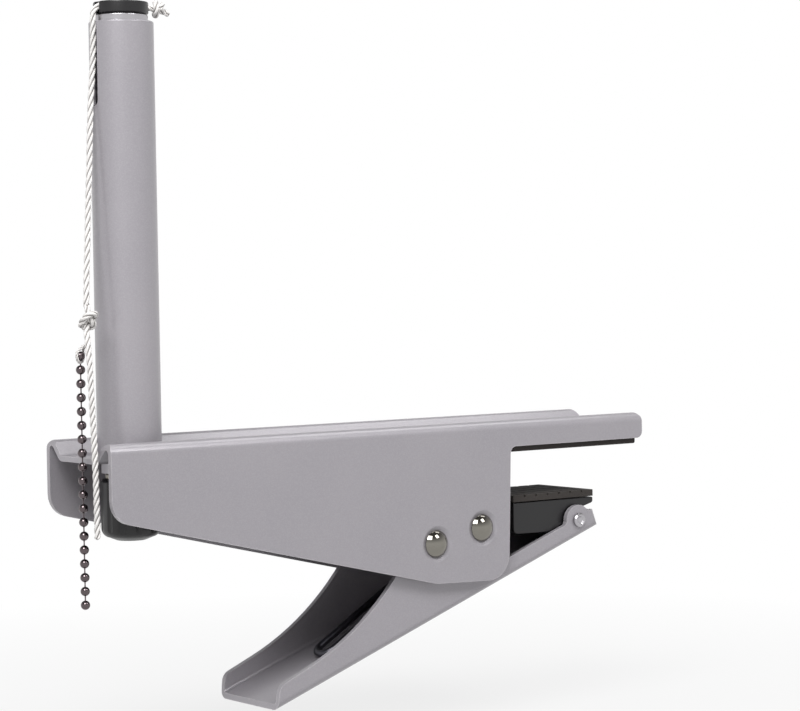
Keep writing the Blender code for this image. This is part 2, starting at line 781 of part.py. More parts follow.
# ---------------------------------------------------------------- rivets
def make_rivet(name, place):
    """Through rivet with a domed head on each cheek."""
    seat = HALF_WIDTH + GAP
    dome_radius = (RIVET_HEAD**2 + RIVET_DOME**2) / (2 * RIVET_DOME)
    centre = seat + RIVET_DOME - dome_radius
    half_angle = math.asin(RIVET_HEAD / dome_radius)
    dome = arc((0, centre), dome_radius, math.pi / 2, math.pi / 2 - half_angle, 5)
    upper = [(0, seat + RIVET_DOME)] + dome[1:] + [(RIVET_RADIUS, seat)]
    profile = upper + [(radius, -height) for radius, height in reversed(upper)]
    rivet = turned(name, profile, NICKEL, steps=28)
    rivet.location = place
    rivet.rotation_euler = ALONG_Y


def make_sleeve(name, place, inner, outer, half, finish, steps=28):
    sleeve = turned(name, ring_profile(inner, outer, -half, half), finish, True, steps)
    sleeve.location = place
    sleeve.rotation_euler = ALONG_Y


def make_pivot():
    make_rivet("pivot_rivet", PIVOT)
    inner = RIVET_RADIUS + PIN_GAP
    outer = inner + PIVOT_SLEEVE_WALL
    make_sleeve("pivot_sleeve", PIVOT, inner, outer, LEVER_INNER - GAP, ZINC)
    low = LEVER_HALF + GAP
    high = CHEEK_INNER - GAP
    for name, side in (("pivot_washer_near", -1), ("pivot_washer_far", 1)):
        half = (high - low) / 2
        ring = ring_profile(inner, PIVOT_WASHER_RADIUS, -half, half, 0.0001)
        washer = turned(name, ring, NYLON, True, 28)
        washer.location = PIVOT + Vector((0, side * (low + high) / 2, 0))
        washer.rotation_euler = ALONG_Y


def make_spring_pin():
    make_rivet("spring_rivet", SPRING_PIN)
    inner = RIVET_RADIUS + PIN_GAP
    outer = inner + SPRING_SLEEVE_WALL
    make_sleeve("spring_sleeve", SPRING_PIN, inner, outer, CHEEK_INNER - GAP, ZINC)


# ---------------------------------------------------------------- torsion spring
def tangent_leg(centre, radius, target, side):
    """Angle on the circle where a straight leg from target touches it, on one side."""
    away = Vector((target[0] - centre[0], target[1] - centre[1]))
    return math.atan2(away.y, away.x) + side * math.acos(radius / away.length)


def make_spring():
    """Double torsion spring: its bridge presses the tray and its two ends push the web."""
    coil = RIVET_RADIUS + PIN_GAP + SPRING_SLEEVE_WALL + GAP + WIRE / 2
    centre = (SPRING_PIN.x, SPRING_PIN.z)
    contact = on_lever(-SPRING_REACH, SHEET + GAP + WIRE / 2)
    top = WEB_UNDERSIDE - GAP - WIRE / 2
    upper_end = (SPRING_PIN.x - UPPER_LEG, top)
    start = tangent_leg(centre, coil, (contact.x, contact.z), 1)
    end = tangent_leg(centre, coil, upper_end, -1)
    turn = (end - start) % math.tau + math.tau * COIL_TURNS
    steps = round(POINTS_A_TURN * turn / math.tau)
    half = []
    for step in range(steps + 1):
        angle = start + turn * step / steps
        across = BRIDGE_HALF + COIL_PITCH * turn / math.tau * step / steps
        x = centre[0] + coil * math.cos(angle)
        z = centre[1] + coil * math.sin(angle)
        half.append(Vector((x, across, z)))
    touch = half[0]
    leg = Vector((contact.x, 0, contact.z)) - Vector((touch.x, 0, touch.z))
    forward = leg.normalized()
    bend_start = leg.length - BRIDGE_HALF
    bridge = []
    for step in range(5):
        angle = math.pi / 2 * step / 4
        reach = bend_start + BRIDGE_HALF * math.cos(angle)
        out = Vector((touch.x, 0, touch.z)) + forward * reach
        bridge.append(out + Vector((0, BRIDGE_HALF * math.sin(angle), 0)))
    leg_points = [touch + forward * bend_start * share for share in (0.75, 0.5, 0.25)]
    across = half[-1].y
    elbow = Vector((upper_end[0], across, upper_end[1]))
    tail = [half[-1].lerp(elbow, share) for share in (1 / 3, 2 / 3, 0.97)]
    tail.append(elbow + Vector((-0.0012, 0, 0)))
    tail.append(elbow + Vector((-UPPER_HOOK, 0, 0)))
    one_side = bridge + leg_points + half + tail
    other_side = [Vector((p.x, -p.y, p.z)) for p in reversed(one_side[1:])]
    path = other_side + one_side
    wire("torsion_spring", path, WIRE / 2, SPRING_STEEL, 1)
    apart = round(0.6 * POINTS_A_TURN)
    gap = min(
        (a - b).length for i, a in enumerate(path) for b in path[i + apart :]
    )
    print(f"torsion spring: {len(path)} points, least gap to itself {1000 * (gap - WIRE):.2f} mm")


# ---------------------------------------------------------------- jaw
def make_jaw():
    """Shoe that swivels on the jaw pin and carries a grooved rubber pad under the table."""
    seat = LEVER_HALF + GAP
    cap = seat + JAW_PIN_CAP
    upper = [
        (0, cap),
        (JAW_PIN_HEAD * 0.6, cap),
        (JAW_PIN_HEAD, cap - JAW_PIN_CAP * 0.45),
        (JAW_PIN_HEAD, seat),
        (JAW_PIN_RADIUS, seat),
    ]
    profile = upper + [(radius, -height) for radius, height in reversed(upper)]
    pin = turned("jaw_pin", profile, ZINC, steps=20)
    pin.location = JAW_PIN
    pin.rotation_euler = ALONG_Y

    half = LEVER_INNER - 2 * GAP
    pad_low = -JAW_GAP - JAW_PAD - JAW_PIN.z
    top = pad_low - GAP
    left = -SHOE_BEHIND_PIN
    right = SHOE_LENGTH - SHOE_BEHIND_PIN
    corners = [
        (left, top, 0.0005),
        (left, -SHOE_HEEL, 0.0020),
        (-SHOE_BOSS, -SHOE_BOSS, SHOE_BOSS),
        (SHOE_BOSS, -SHOE_BOSS, SHOE_BOSS * 0.98),
        (SHOE_BOSS, top - SHOE_NOSE, 0.0012),
        (right, top - SHOE_NOSE + SHOE_NOSE_RISE, 0.0010),
        (right, top, 0.0005),
    ]
    shoe = plate("jaw_shoe", filleted(corners, degrees=20), 2 * half, BLACK, place=JAW_PIN)
    bore = drum("shoe_bore", JAW_PIN_RADIUS + PIN_GAP, 4 * half, JAW_PIN, sides=20, turn=ALONG_Y)
    combine(shoe, bore, "DIFFERENCE")

    tread = [(left, pad_low, 0), (right, pad_low, 0), (right, pad_low + JAW_PAD, 0)]
    pitch = SHOE_LENGTH / (JAW_PAD_GROOVES + 1)
    width = JAW_PAD_GROOVE
    for index in range(JAW_PAD_GROOVES, 0, -1):
        middle = left + pitch * index
        tread += [
            (middle + width / 2, pad_low + JAW_PAD, 0),
            (middle + width / 2, pad_low + JAW_PAD - width, 0),
            (middle - width / 2, pad_low + JAW_PAD - width, 0),
            (middle - width / 2, pad_low + JAW_PAD, 0),
        ]
    tread.append((left, pad_low + JAW_PAD, 0))
    plate("jaw_pad", filleted(tread), 2 * half, RUBBER, place=JAW_PIN)


# ---------------------------------------------------------------- cord and chain
def make_cord():
    """Tension cord: laid across the cap, down the slot to a knot, with a loose tail below it."""
    top = CAP_SEAT + CAP_HEIGHT - CORD_RADIUS
    turn_in = LEAD_RUN - CORD_BEND
    over = [(CAP_RADIUS - GAP, 0, top)]
    over += [(CAP_RADIUS * share, 0, top) for share in (0.6, 0.2, -0.2)]
    bend = arc((-turn_in, top - CORD_BEND), CORD_BEND, math.pi / 2, math.pi, 5)
    over += [(x, 0, z) for x, z in bend]
    spacing = 5 * CORD_RADIUS
    knot = Vector(KNOT_PLACE)
    reach = KNOT_HEIGHT / 2 + GAP
    stop = CAP_RADIUS + STOP_KNOT_RADIUS + GAP
    lead_end = knot + (Vector(LEAD_ROUTE[-1]) - knot).normalized() * reach
    lead = over[:-1] + smooth_route([over[-1]] + LEAD_ROUTE + [lead_end], spacing)
    tail_start = knot + (Vector(TAIL_ROUTE[0]) - knot).normalized() * reach
    tail = smooth_route([tail_start] + TAIL_ROUTE, spacing)
    for name, points in (("lead_cord", lead), ("cord_tail", tail)):
        made = wire(name, points, CORD_RADIUS, CORD, 2)
        made.location = (POST_X, 0, 0)
    for name, radius, half_height, centre in (
        ("cord_knot", KNOT_RADIUS, KNOT_HEIGHT / 2, knot),
        ("stop_knot", STOP_KNOT_RADIUS, STOP_KNOT_RADIUS, (stop, 0, top)),
    ):
        unit = arc((0, 0), 1, math.pi / 2, -math.pi / 2, 10)
        ball = [(0, 1)] + unit[1:-1] + [(0, -1)]
        profile = [(radius * x, half_height * z) for x, z in ball]
        made = turned(name, profile, CORD, steps=18)
        made.location = Vector(centre) + Vector((POST_X, 0, 0))


def make_chain():
    """String of hollow balls on short links, hung by its first ball in a noose of thin cord."""
    profile = [(0, FIRST_BALL + BALL_RADIUS)]
    meet = math.asin(LINK_RADIUS / BALL_RADIUS)
    for index in range(BALL_COUNT):
        centre = FIRST_BALL - index * BALL_PITCH
        for step in range(0 if index else 1, 7):
            angle = meet + (math.pi - 2 * meet) * step / 6
            profile.append((BALL_RADIUS * math.sin(angle), centre + BALL_RADIUS * math.cos(angle)))
    low = FIRST_BALL - (BALL_COUNT - 1) * BALL_PITCH - BALL_RADIUS - 0.0008
    profile += [(LINK_RADIUS, low), (0, low)]
    chain = turned("ball_chain", profile, CHAIN, steps=10)
    chain.location = (POST_X + CHAIN_X, CHAIN_Y, 0)

    mesh = bpy.data.meshes.new("chain_noose")
    noose = add("chain_noose", mesh, CORD)
    work = bmesh.new()
    reach = NOOSE_RADIUS - NOOSE_CORD
    circle = bmesh.ops.create_circle(work, segments=8, radius=NOOSE_CORD)["verts"]
    bmesh.ops.rotate(work, verts=circle, matrix=Matrix.Rotation(math.pi / 2, 3, "X"))
    bmesh.ops.translate(work, verts=circle, vec=(reach, 0, 0))
    bmesh.ops.spin(
        work,
        geom=work.edges[:] + work.verts[:],
        cent=(0, 0, 0),
        axis=(0, 0, 1),
        angle=math.tau,
        steps=20,
        use_merge=True,
    )
    bmesh.ops.remove_doubles(work, verts=work.verts, dist=1e-6)
    bmesh.ops.recalc_face_normals(work, faces=work.faces)
    work.to_mesh(mesh)
    work.free()
    below = math.sqrt((BALL_RADIUS + NOOSE_CORD + GAP) ** 2 - reach**2)
    noose.location = (POST_X + CHAIN_X, CHAIN_Y, FIRST_BALL - below)


make_bracket()
make_arm_pad()
make_post_tube()
make_inner_tube()
make_cap()
make_foot()
make_screw()
make_knob()
make_lever()
make_pivot()
make_spring_pin()
make_spring()
make_jaw()
make_cord()
make_chain()

for made in PARTS.objects:
    if made.type == "MESH":
        shade(made.data)
        even = made.modifiers.new("flat faces shade flat", "WEIGHTED_NORMAL")
        even.keep_sharp = True
print(f"{len(PARTS.objects)} pieces")
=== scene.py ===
# %% [markdown]
# # A net clamp for a table tennis table
#
# The clamp holds one post of the net. A folded steel bracket sits on the edge of the table top, a
# squeeze lever under it is pushed up by a spring, and a screw in the post's foot sets the height of
# the net. The solids come from a CAD model in metres: the playing surface is z = 0 and the net runs
# along X. This notebook adds what the eye needs on top of them: rounded cut edges, a laid cord with
# real knots, a string of hollow balls, and finishes that look like what the parts are made of.
#
# The startup scene is emptied first, then the frame is loaded. Each solid keeps its name, and each
# moving body is an empty that the pieces ride on.

# %% Open the frame
import json
import math

import bpy
import numpy as np
from mathutils import Matrix, Vector

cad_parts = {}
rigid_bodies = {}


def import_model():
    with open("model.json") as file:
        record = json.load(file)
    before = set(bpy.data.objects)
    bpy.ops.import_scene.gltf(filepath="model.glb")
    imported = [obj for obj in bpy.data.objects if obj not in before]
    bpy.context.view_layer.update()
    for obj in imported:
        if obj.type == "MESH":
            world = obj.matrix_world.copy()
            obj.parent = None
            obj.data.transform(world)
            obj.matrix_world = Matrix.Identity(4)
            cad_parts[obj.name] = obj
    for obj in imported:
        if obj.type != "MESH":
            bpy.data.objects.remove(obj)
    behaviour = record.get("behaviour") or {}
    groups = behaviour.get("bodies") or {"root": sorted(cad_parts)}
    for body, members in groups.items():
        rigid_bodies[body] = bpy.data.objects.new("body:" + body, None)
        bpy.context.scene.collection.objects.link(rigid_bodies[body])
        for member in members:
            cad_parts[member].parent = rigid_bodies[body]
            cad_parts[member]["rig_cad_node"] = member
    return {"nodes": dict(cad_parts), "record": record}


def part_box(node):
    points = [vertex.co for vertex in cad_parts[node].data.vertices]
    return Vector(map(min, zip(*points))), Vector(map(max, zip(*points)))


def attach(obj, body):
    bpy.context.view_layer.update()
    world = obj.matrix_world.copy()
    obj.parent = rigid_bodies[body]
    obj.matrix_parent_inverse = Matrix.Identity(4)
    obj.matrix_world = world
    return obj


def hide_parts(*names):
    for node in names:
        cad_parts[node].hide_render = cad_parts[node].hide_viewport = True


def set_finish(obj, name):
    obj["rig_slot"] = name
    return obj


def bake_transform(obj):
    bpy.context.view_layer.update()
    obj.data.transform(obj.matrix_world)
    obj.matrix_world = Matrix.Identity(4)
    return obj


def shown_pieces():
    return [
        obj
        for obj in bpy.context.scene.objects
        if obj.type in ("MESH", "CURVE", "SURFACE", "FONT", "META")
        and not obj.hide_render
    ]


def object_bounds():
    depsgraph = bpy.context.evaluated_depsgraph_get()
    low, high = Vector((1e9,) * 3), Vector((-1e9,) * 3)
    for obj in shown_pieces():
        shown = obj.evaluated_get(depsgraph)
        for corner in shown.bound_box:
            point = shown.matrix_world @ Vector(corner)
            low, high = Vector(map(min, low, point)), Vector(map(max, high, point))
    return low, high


for old in list(bpy.data.objects):
    bpy.data.objects.remove(old, do_unlink=True)

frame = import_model()
cad_low, cad_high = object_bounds()

# %% [markdown]
# ## Camera
#
# The clamp is seen from its outer near corner, a little above the table's level, through a long
# lens. A long lens keeps the near and far cheek almost the same size, which suits a small object.
# The camera's turn is built from three plain angles: where it faces, how far it looks down, and a
# slight roll.

# %% Place the camera
FACING = math.radians(36.364)
LOOKING_DOWN = math.radians(1.851)
ROLL = math.radians(-0.967)

forward = Vector(
    (
        math.sin(FACING) * math.cos(LOOKING_DOWN),
        math.cos(FACING) * math.cos(LOOKING_DOWN),
        -math.sin(LOOKING_DOWN),
    )
)
level = Vector((math.cos(FACING), -math.sin(FACING), 0))
upward = level.cross(forward)
side = level * math.cos(ROLL) + upward * math.sin(ROLL)
top = -level * math.sin(ROLL) + upward * math.cos(ROLL)

camera = bpy.data.objects.new("camera", bpy.data.cameras.new("camera"))
bpy.context.scene.collection.objects.link(camera)
camera.data.lens = 112.78
camera.data.sensor_width = 36
camera.data.sensor_fit = "HORIZONTAL"
camera.data.clip_start = 0.05
turn = Matrix((side, top, -forward)).transposed().to_4x4()
camera.matrix_world = Matrix.Translation((-0.58452, -0.70744, 0.06329)) @ turn
bpy.context.scene.camera = camera
print("camera at", [round(v, 3) for v in camera.location])

# %% [markdown]
# ## Small helpers
#
# Operators act on whatever is selected, so every step starts by selecting nothing. A finished piece
# has its object at the origin and its place in its mesh, as the solids have, so that patterns on
# object coordinates stay where they are put.

# %% Selecting, settling and dressing
def only(*objects):
    """Selects these objects and nothing else, and makes the first one active."""
    if bpy.context.mode != "OBJECT":
        bpy.ops.object.mode_set(mode="OBJECT")
    bpy.ops.object.select_all(action="DESELECT")
    for item in objects:
        item.select_set(True)
    bpy.context.view_layer.objects.active = objects[0]
    bpy.context.tool_settings.mesh_select_mode = (True, False, False)
    return objects[0]


def settle(piece):
    """Puts the piece's place into its mesh."""
    only(piece)
    bpy.ops.object.transform_apply(location=True, rotation=True, scale=True)
    return piece


def apply_all(piece):
    """Applies every modifier in order."""
    only(piece)
    for modifier in list(piece.modifiers):
        bpy.ops.object.modifier_apply(modifier=modifier.name)
    return piece


def round_edges(piece, width, segments=2, angle=35):
    """Breaks the sharp edges of a made piece, then shades it smooth up to an angle."""
    bevel = piece.modifiers.new("broken edges", "BEVEL")
    bevel.width = width
    bevel.segments = segments
    bevel.limit_method = "ANGLE"
    bevel.angle_limit = math.radians(angle)
    bevel.harden_normals = False
    apply_all(piece)
    bpy.ops.object.shade_smooth_by_angle(angle=math.radians(40))
    even = piece.modifiers.new("flat faces shade flat", "WEIGHTED_NORMAL")
    even.keep_sharp = True
    apply_all(piece)
    return piece


def dress(piece, body, slot, *nodes):
    """The piece rides on a body, takes a finish slot, and stands for these solids."""
    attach(piece, body)
    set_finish(piece, slot)
    if nodes:
        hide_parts(*nodes)
    return piece


def merged_copy(node, name):
    """A solid's shape as a new mesh, its triangles joined and its flat faces made whole."""
    copy = bpy.data.objects.new(name, frame["nodes"][node].data.copy())
    bpy.context.scene.collection.objects.link(copy)
    only(copy)
    bpy.ops.object.mode_set(mode="EDIT")
    bpy.ops.mesh.select_all(action="SELECT")
    bpy.ops.mesh.remove_doubles(threshold=2e-6)
    bpy.ops.mesh.dissolve_limited(angle_limit=math.radians(0.5))
    bpy.ops.object.mode_set(mode="OBJECT")
    return copy


def measured(piece):
    """Prints a piece's size and how many faces it has."""
    size = [1000 * v for v in piece.dimensions]
    faces = len(piece.data.polygons)
    print(f"{piece.name}: {size[0]:.1f} x {size[1]:.1f} x {size[2]:.1f} mm, {faces} faces")


# %% [markdown]
# ## The tension cord
#
# The net hangs on a cord that runs over the post's cap, down a slot, and ends in a knot below which
# a loose tail hangs. It is polyester, 2.1 mm thick, laid from three strands that turn once in about
# 8.4 mm, or a quarter more where the lead is pulled taut. A plain tube would look like wire, so the
# section is three rounded lobes, and it is turned a little more at each step along the route. The
# route is written in metres from the post's axis.

# %% The cord's facts and route
POST_X = (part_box("post_tube")[0].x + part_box("post_tube")[1].x) / 2
CAP_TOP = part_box("post_cap")[1].z
CORD_RADIUS = 0.00105
LAY_LENGTH = 0.0084
CAP_RADIUS = 0.0089
CORD_TOP = CAP_TOP - CORD_RADIUS
TURN_IN = 0.00615
CORD_BEND = 0.0042
KNOT_PLACE = Vector((-0.0198, -0.0083, 0.0502))
KNOT_REACH = 0.0055

LEAD_ROUTE = [
    (-0.0106, -0.0001, 0.1360),
    (-0.0113, -0.0003, 0.1280),
    (-0.0122, -0.0006, 0.1190),
    (-0.0131, -0.0013, 0.1090),
    (-0.0141, -0.0022, 0.0980),
    (-0.0152, -0.0031, 0.0870),
    (-0.0165, -0.0045, 0.0760),
    (-0.0180, -0.0062, 0.0655),
    (-0.0190, -0.0075, 0.0580),
]
TAIL_ROUTE = [
    (-0.0207, -0.0109, 0.0425),
    (-0.0210, -0.0123, 0.0370),
    (-0.0212, -0.0131, 0.0300),
    (-0.0212, -0.0138, 0.0210),
    (-0.0212, -0.0145, 0.0110),
    (-0.0212, -0.0150, 0.0010),
    (-0.0213, -0.0154, -0.0090),
    (-0.0213, -0.0155, -0.0188),
]


def smooth_route(points, spacing):
    """Points about one spacing apart on a smooth curve through the route's own points."""
    route = np.array(points, float)
    ends = np.vstack([2 * route[0] - route[1], route, 2 * route[-1] - route[-2]])
    t = np.linspace(0, 1, 24, endpoint=False)[:, None]
    fine = []
    for before, here, ahead, after in zip(ends, ends[1:], ends[2:], ends[3:]):
        bend = (2 * before - 5 * here + 4 * ahead - after) * t**2
        bend += (3 * here - before - 3 * ahead + after) * t**3
        fine.append((2 * here + (ahead - before) * t + bend) / 2)
    fine = np.vstack([*fine, route[-1:]])
    walked = np.concatenate([[0], np.cumsum(np.linalg.norm(np.diff(fine, axis=0), axis=1))])
    even = np.linspace(0, walked[-1], max(2, round(walked[-1] / spacing)) + 1)
    return np.stack([np.interp(even, walked, fine[:, axis]) for axis in range(3)], axis=1)


knot_top = KNOT_PLACE + (Vector(LEAD_ROUTE[-1]) - KNOT_PLACE).normalized() * KNOT_REACH
knot_foot = KNOT_PLACE + (Vector(TAIL_ROUTE[0]) - KNOT_PLACE).normalized() * KNOT_REACH
angles = np.linspace(math.pi / 2, math.pi, 6)
bend = [
    (-TURN_IN + CORD_BEND * math.cos(a), 0, CORD_TOP - CORD_BEND + CORD_BEND * math.sin(a))
    for a in angles
]
over_cap = [(CAP_RADIUS * share, 0, CORD_TOP) for share in (0.97, 0.6, 0.2, -0.2, -0.5)]
lead = smooth_route([*over_cap, *bend, *LEAD_ROUTE, knot_top], 0.0003)
tail = smooth_route([knot_foot, *TAIL_ROUTE], 0.0003)


def length_of(points):
    return float(np.linalg.norm(np.diff(points, axis=0), axis=1).sum())


print(f"lead {1000 * length_of(lead):.1f} mm, tail {1000 * length_of(tail):.1f} mm")

# %% [markdown]
# ## A knot that is really tied
#
# The lead ends in an overhand knot. A lump would be the quick way, and it would look like one. Here
# the cord's centre line starts as a loose overhand knot, which a short formula gives, and is then
# pulled tight: each round shortens the line, eases its bends, and pushes crossing parts apart by a
# little less than the cord's thickness, because a soft cord flattens where it crosses itself. The
# two ends stay on the lead and on the tail.

# %% Pull an overhand knot tight
def overhand(top, top_way, foot, foot_way, spare, across, rounds=700, count=140):
    """Centre line of a tight overhand knot between two ends, with this much cord taken up in it."""
    thickness = 1.85 * CORD_RADIUS
    t = np.linspace(-2.25, 2.25, count - 20)[:, None]
    s = thickness * 1.05
    axis = (top - foot) / np.linalg.norm(top - foot)
    across = np.array(across, float) - axis * (axis @ np.array(across, float))
    across /= np.linalg.norm(across)
    loose = (top + foot) / 2 + axis * (10 * t - t**5) * s / 4.2
    loose += across * (t**3 - 3 * t) * s
    loose += np.cross(axis, across) * (t**4 - 4 * t**2 + 1.5) * s
    first = np.linspace(top + 0.010 * top_way, loose[0], 11)[:-1]
    last = np.linspace(loose[-1], foot + 0.010 * foot_way, 11)[1:]
    line = np.concatenate([first, loose, last])
    count = len(line)
    start_length = length_of(line)
    goal = float(np.linalg.norm(top - foot)) + spare
    one, other = np.triu_indices(count, 1)
    held = np.arange(4)[:, None]
    for number in range(rounds):
        share = min(1.0, number / (0.75 * rounds))
        step = (start_length + (goal - start_length) * share**0.7) / (count - 1)
        slack = 0.010 * (1 - share)
        line[1:-1] += 0.25 * ((line[:-2] + line[2:]) / 2 - line[1:-1])
        apart = other - one >= max(3, math.ceil(1.7 * thickness / step))
        a, b = one[apart], other[apart]
        for _ in range(6):
            for start in (0, 1):
                here, ahead = line[start:-1:2], line[start + 1 :: 2]
                pairs = min(len(here), len(ahead))
                here, ahead = here[:pairs], ahead[:pairs]
                gap = ahead - here
                size = np.maximum(np.linalg.norm(gap, axis=1, keepdims=True), 1e-9)
                change = gap * (0.5 * (1 - step / size))
                here += change
                ahead -= change
            gap = line[b] - line[a]
            size = np.linalg.norm(gap, axis=1)
            near = size < thickness
            push = gap[near] * (0.5 * (thickness - size[near]) / size[near])[:, None]
            move, hits = np.zeros_like(line), np.zeros(count)
            np.add.at(move, a[near], -push)
            np.add.at(move, b[near], push)
            np.add.at(hits, a[near], 1)
            np.add.at(hits, b[near], 1)
            line += 0.95 * move / np.maximum(hits, 1)[:, None]
            line[:4] = top + top_way * (slack - held * step)
            line[-4:] = (foot + foot_way * (slack - held * step))[::-1]
    return line


lead_way = lead[-6] - lead[-1]
tail_way = tail[5] - tail[0]
knot_line = overhand(
    lead[-1],
    lead_way / np.linalg.norm(lead_way),
    tail[0],
    tail_way / np.linalg.norm(tail_way),
    spare=0.0200,
    across=(0, 1, 0),
)
spread = knot_line.max(0) - knot_line.min(0) + 2 * CORD_RADIUS
taken = 1000 * length_of(knot_line)
print(f"knot takes up {taken:.1f} mm of cord and measures", np.round(1000 * spread, 1), "mm")

# %% [markdown]
# The three-lobed section is swept along the line by hand rather than with a curve's bevel, because
# the lead, the knot and the tail are one cord: the turn of the strands has to run on from one piece
# to the next. A frame is carried along the line without twisting, and the lay is then added to it.
# Each piece gets a UV map, one unit along for each millimetre and one round the section, so that
# the yarns can follow the strands.

# %% Sweep the laid section
LOBES = 3
SECTION_POINTS = 30
STRAND = 0.52 * CORD_RADIUS


def lobed_radius(angle):
    """Distance from the cord's middle to its surface, for three strands pressed together."""
    within = (angle + math.pi / LOBES) % (math.tau / LOBES) - math.pi / LOBES
    centre = CORD_RADIUS - STRAND
    aside = centre * math.sin(within)
    return centre * math.cos(within) + math.sqrt(max(0, STRAND**2 - aside**2))


def carried_frames(points, first_side=None):
    """Tangent and side at each point, the side carried along without turning round the line."""
    ways = np.gradient(points, axis=0)
    ways /= np.linalg.norm(ways, axis=1, keepdims=True)
    start = np.array((0.0, 1.0, 0.0)) if first_side is None else first_side
    sides = [start - ways[0] * (start @ ways[0])]
    for way in ways[1:]:
        last = sides[-1] / np.linalg.norm(sides[-1])
        sides.append(last - way * (last @ way))
    sides = np.array(sides)
    return ways, sides / np.linalg.norm(sides, axis=1, keepdims=True)


def sweep(
    name, points, scale=1.0, first_side=None, turned=0.0, lay=LAY_LENGTH, ends=(False, False)
):
    """The laid cord along these points; returns the piece, its last side and its last turn."""
    round_start, round_end = ends
    ways, sides = carried_frames(points, first_side)
    others = np.cross(ways, sides)
    walked = np.concatenate([[0], np.cumsum(np.linalg.norm(np.diff(points, axis=0), axis=1))])
    turns = turned + walked * math.tau / lay
    section = np.arange(SECTION_POINTS) * math.tau / SECTION_POINTS
    radii = np.array([lobed_radius(a) for a in section]) * scale
    size = np.ones(len(points))
    if round_start:
        size *= np.sqrt(np.clip(1 - (1 - np.clip(walked / 0.0009, 0, 1)) ** 2, 0.02, 1))
    if round_end:
        size *= np.sqrt(np.clip(1 - (1 - np.clip((walked[-1] - walked) / 0.0009, 0, 1)) ** 2, 0.02, 1))
    rings = []
    for point, along, across, turn_here, grown in zip(points, sides, others, turns, size):
        a = section + turn_here
        outward = np.cos(a)[:, None] * along + np.sin(a)[:, None] * across
        rings.append(point + (radii * grown)[:, None] * outward)
    verts = np.concatenate([*rings, points[:1], points[-1:]])
    n, m = SECTION_POINTS, len(points)
    faces = [
        (i * n + k, i * n + (k + 1) % n, (i + 1) * n + (k + 1) % n, (i + 1) * n + k)
        for i in range(m - 1)
        for k in range(n)
    ]
    faces += [(m * n, (k + 1) % n, k) for k in range(n)]
    faces += [(m * n + 1, (m - 1) * n + k, (m - 1) * n + (k + 1) % n) for k in range(n)]
    mesh = bpy.data.meshes.new(name)
    mesh.from_pydata([tuple(v) for v in verts], [], faces)
    layer = mesh.uv_layers.new(name="lay")
    for face in mesh.polygons:
        columns = [mesh.loops[i].vertex_index % n for i in face.loop_indices]
        wraps = 0 in columns and n - 1 in columns
        for i, column in zip(face.loop_indices, columns):
            vertex = mesh.loops[i].vertex_index
            ring = min(vertex // n, m - 1)
            lap = 1.0 if wraps and column == 0 else 0.0
            layer.data[i].uv = (1000 * walked[ring], column / n + lap)
    mesh.shade_smooth()
    piece = bpy.data.objects.new(name, mesh)
    bpy.context.scene.collection.objects.link(piece)
    piece.data.transform(Matrix.Translation((POST_X, 0, 0)))
    return piece, sides[-1], turns[-1]


lead_piece, last_side, last_turn = sweep("tension_cord_lead", lead, lay=1.25 * LAY_LENGTH)
knot_piece, last_side, last_turn = sweep("overhand_knot", knot_line, 1.0, last_side, last_turn)
tail_piece, last_side, last_turn = sweep(
    "tension_cord_tail", tail, 1.0, last_side, last_turn, ends=(False, True)
)
for piece, node in (
    (lead_piece, "lead_cord"),
    (knot_piece, "cord_knot"),
    (tail_piece, "cord_tail"),
):
    dress(piece, "inner_post", "cord", node)
    measured(piece)

# %% [markdown]
# On the other side of the cap the cord would run on into the net. The net is left out, so the cord
# stops there in a second overhand knot with a short melted end. It is tied the same way, laid on its
# side, and it droops a little, as a limp cord does.

# %% The stop knot by the cap
stop_start = np.array((CAP_RADIUS * 0.97, 0.0, CORD_TOP))
netward = np.array((math.cos(math.radians(12)), 0.0, -math.sin(math.radians(12))))
stop_line = overhand(
    stop_start,
    np.array((-1.0, 0.0, 0.0)),
    stop_start + netward * 0.0098,
    netward,
    spare=0.0200,
    across=(0, 1, 0.3),
)
stop_piece, _, _ = sweep("stop_knot_tied", stop_line, ends=(False, True))
dress(stop_piece, "inner_post", "cord", "stop_knot")
measured(stop_piece)

# %% [markdown]
# ## The ball chain and its noose
#
# A short chain of hollow steel balls hangs beside the tail, perhaps so that the cord can be set to
# length by hooking a ball. Each ball is pressed from strip, with a hole at each pole where the lip turns in,
# and a waisted link joins it to the next. One ball with its link is modelled, then copied down.

# %% One ball and its link
CHAIN_X = POST_X - 0.0224
CHAIN_Y = -0.0088
FIRST_BALL = 0.0392
BALL_RADIUS = 0.0015
BALL_PITCH = 0.0044
BALL_COUNT = 19
LINK_RADIUS = 0.00028


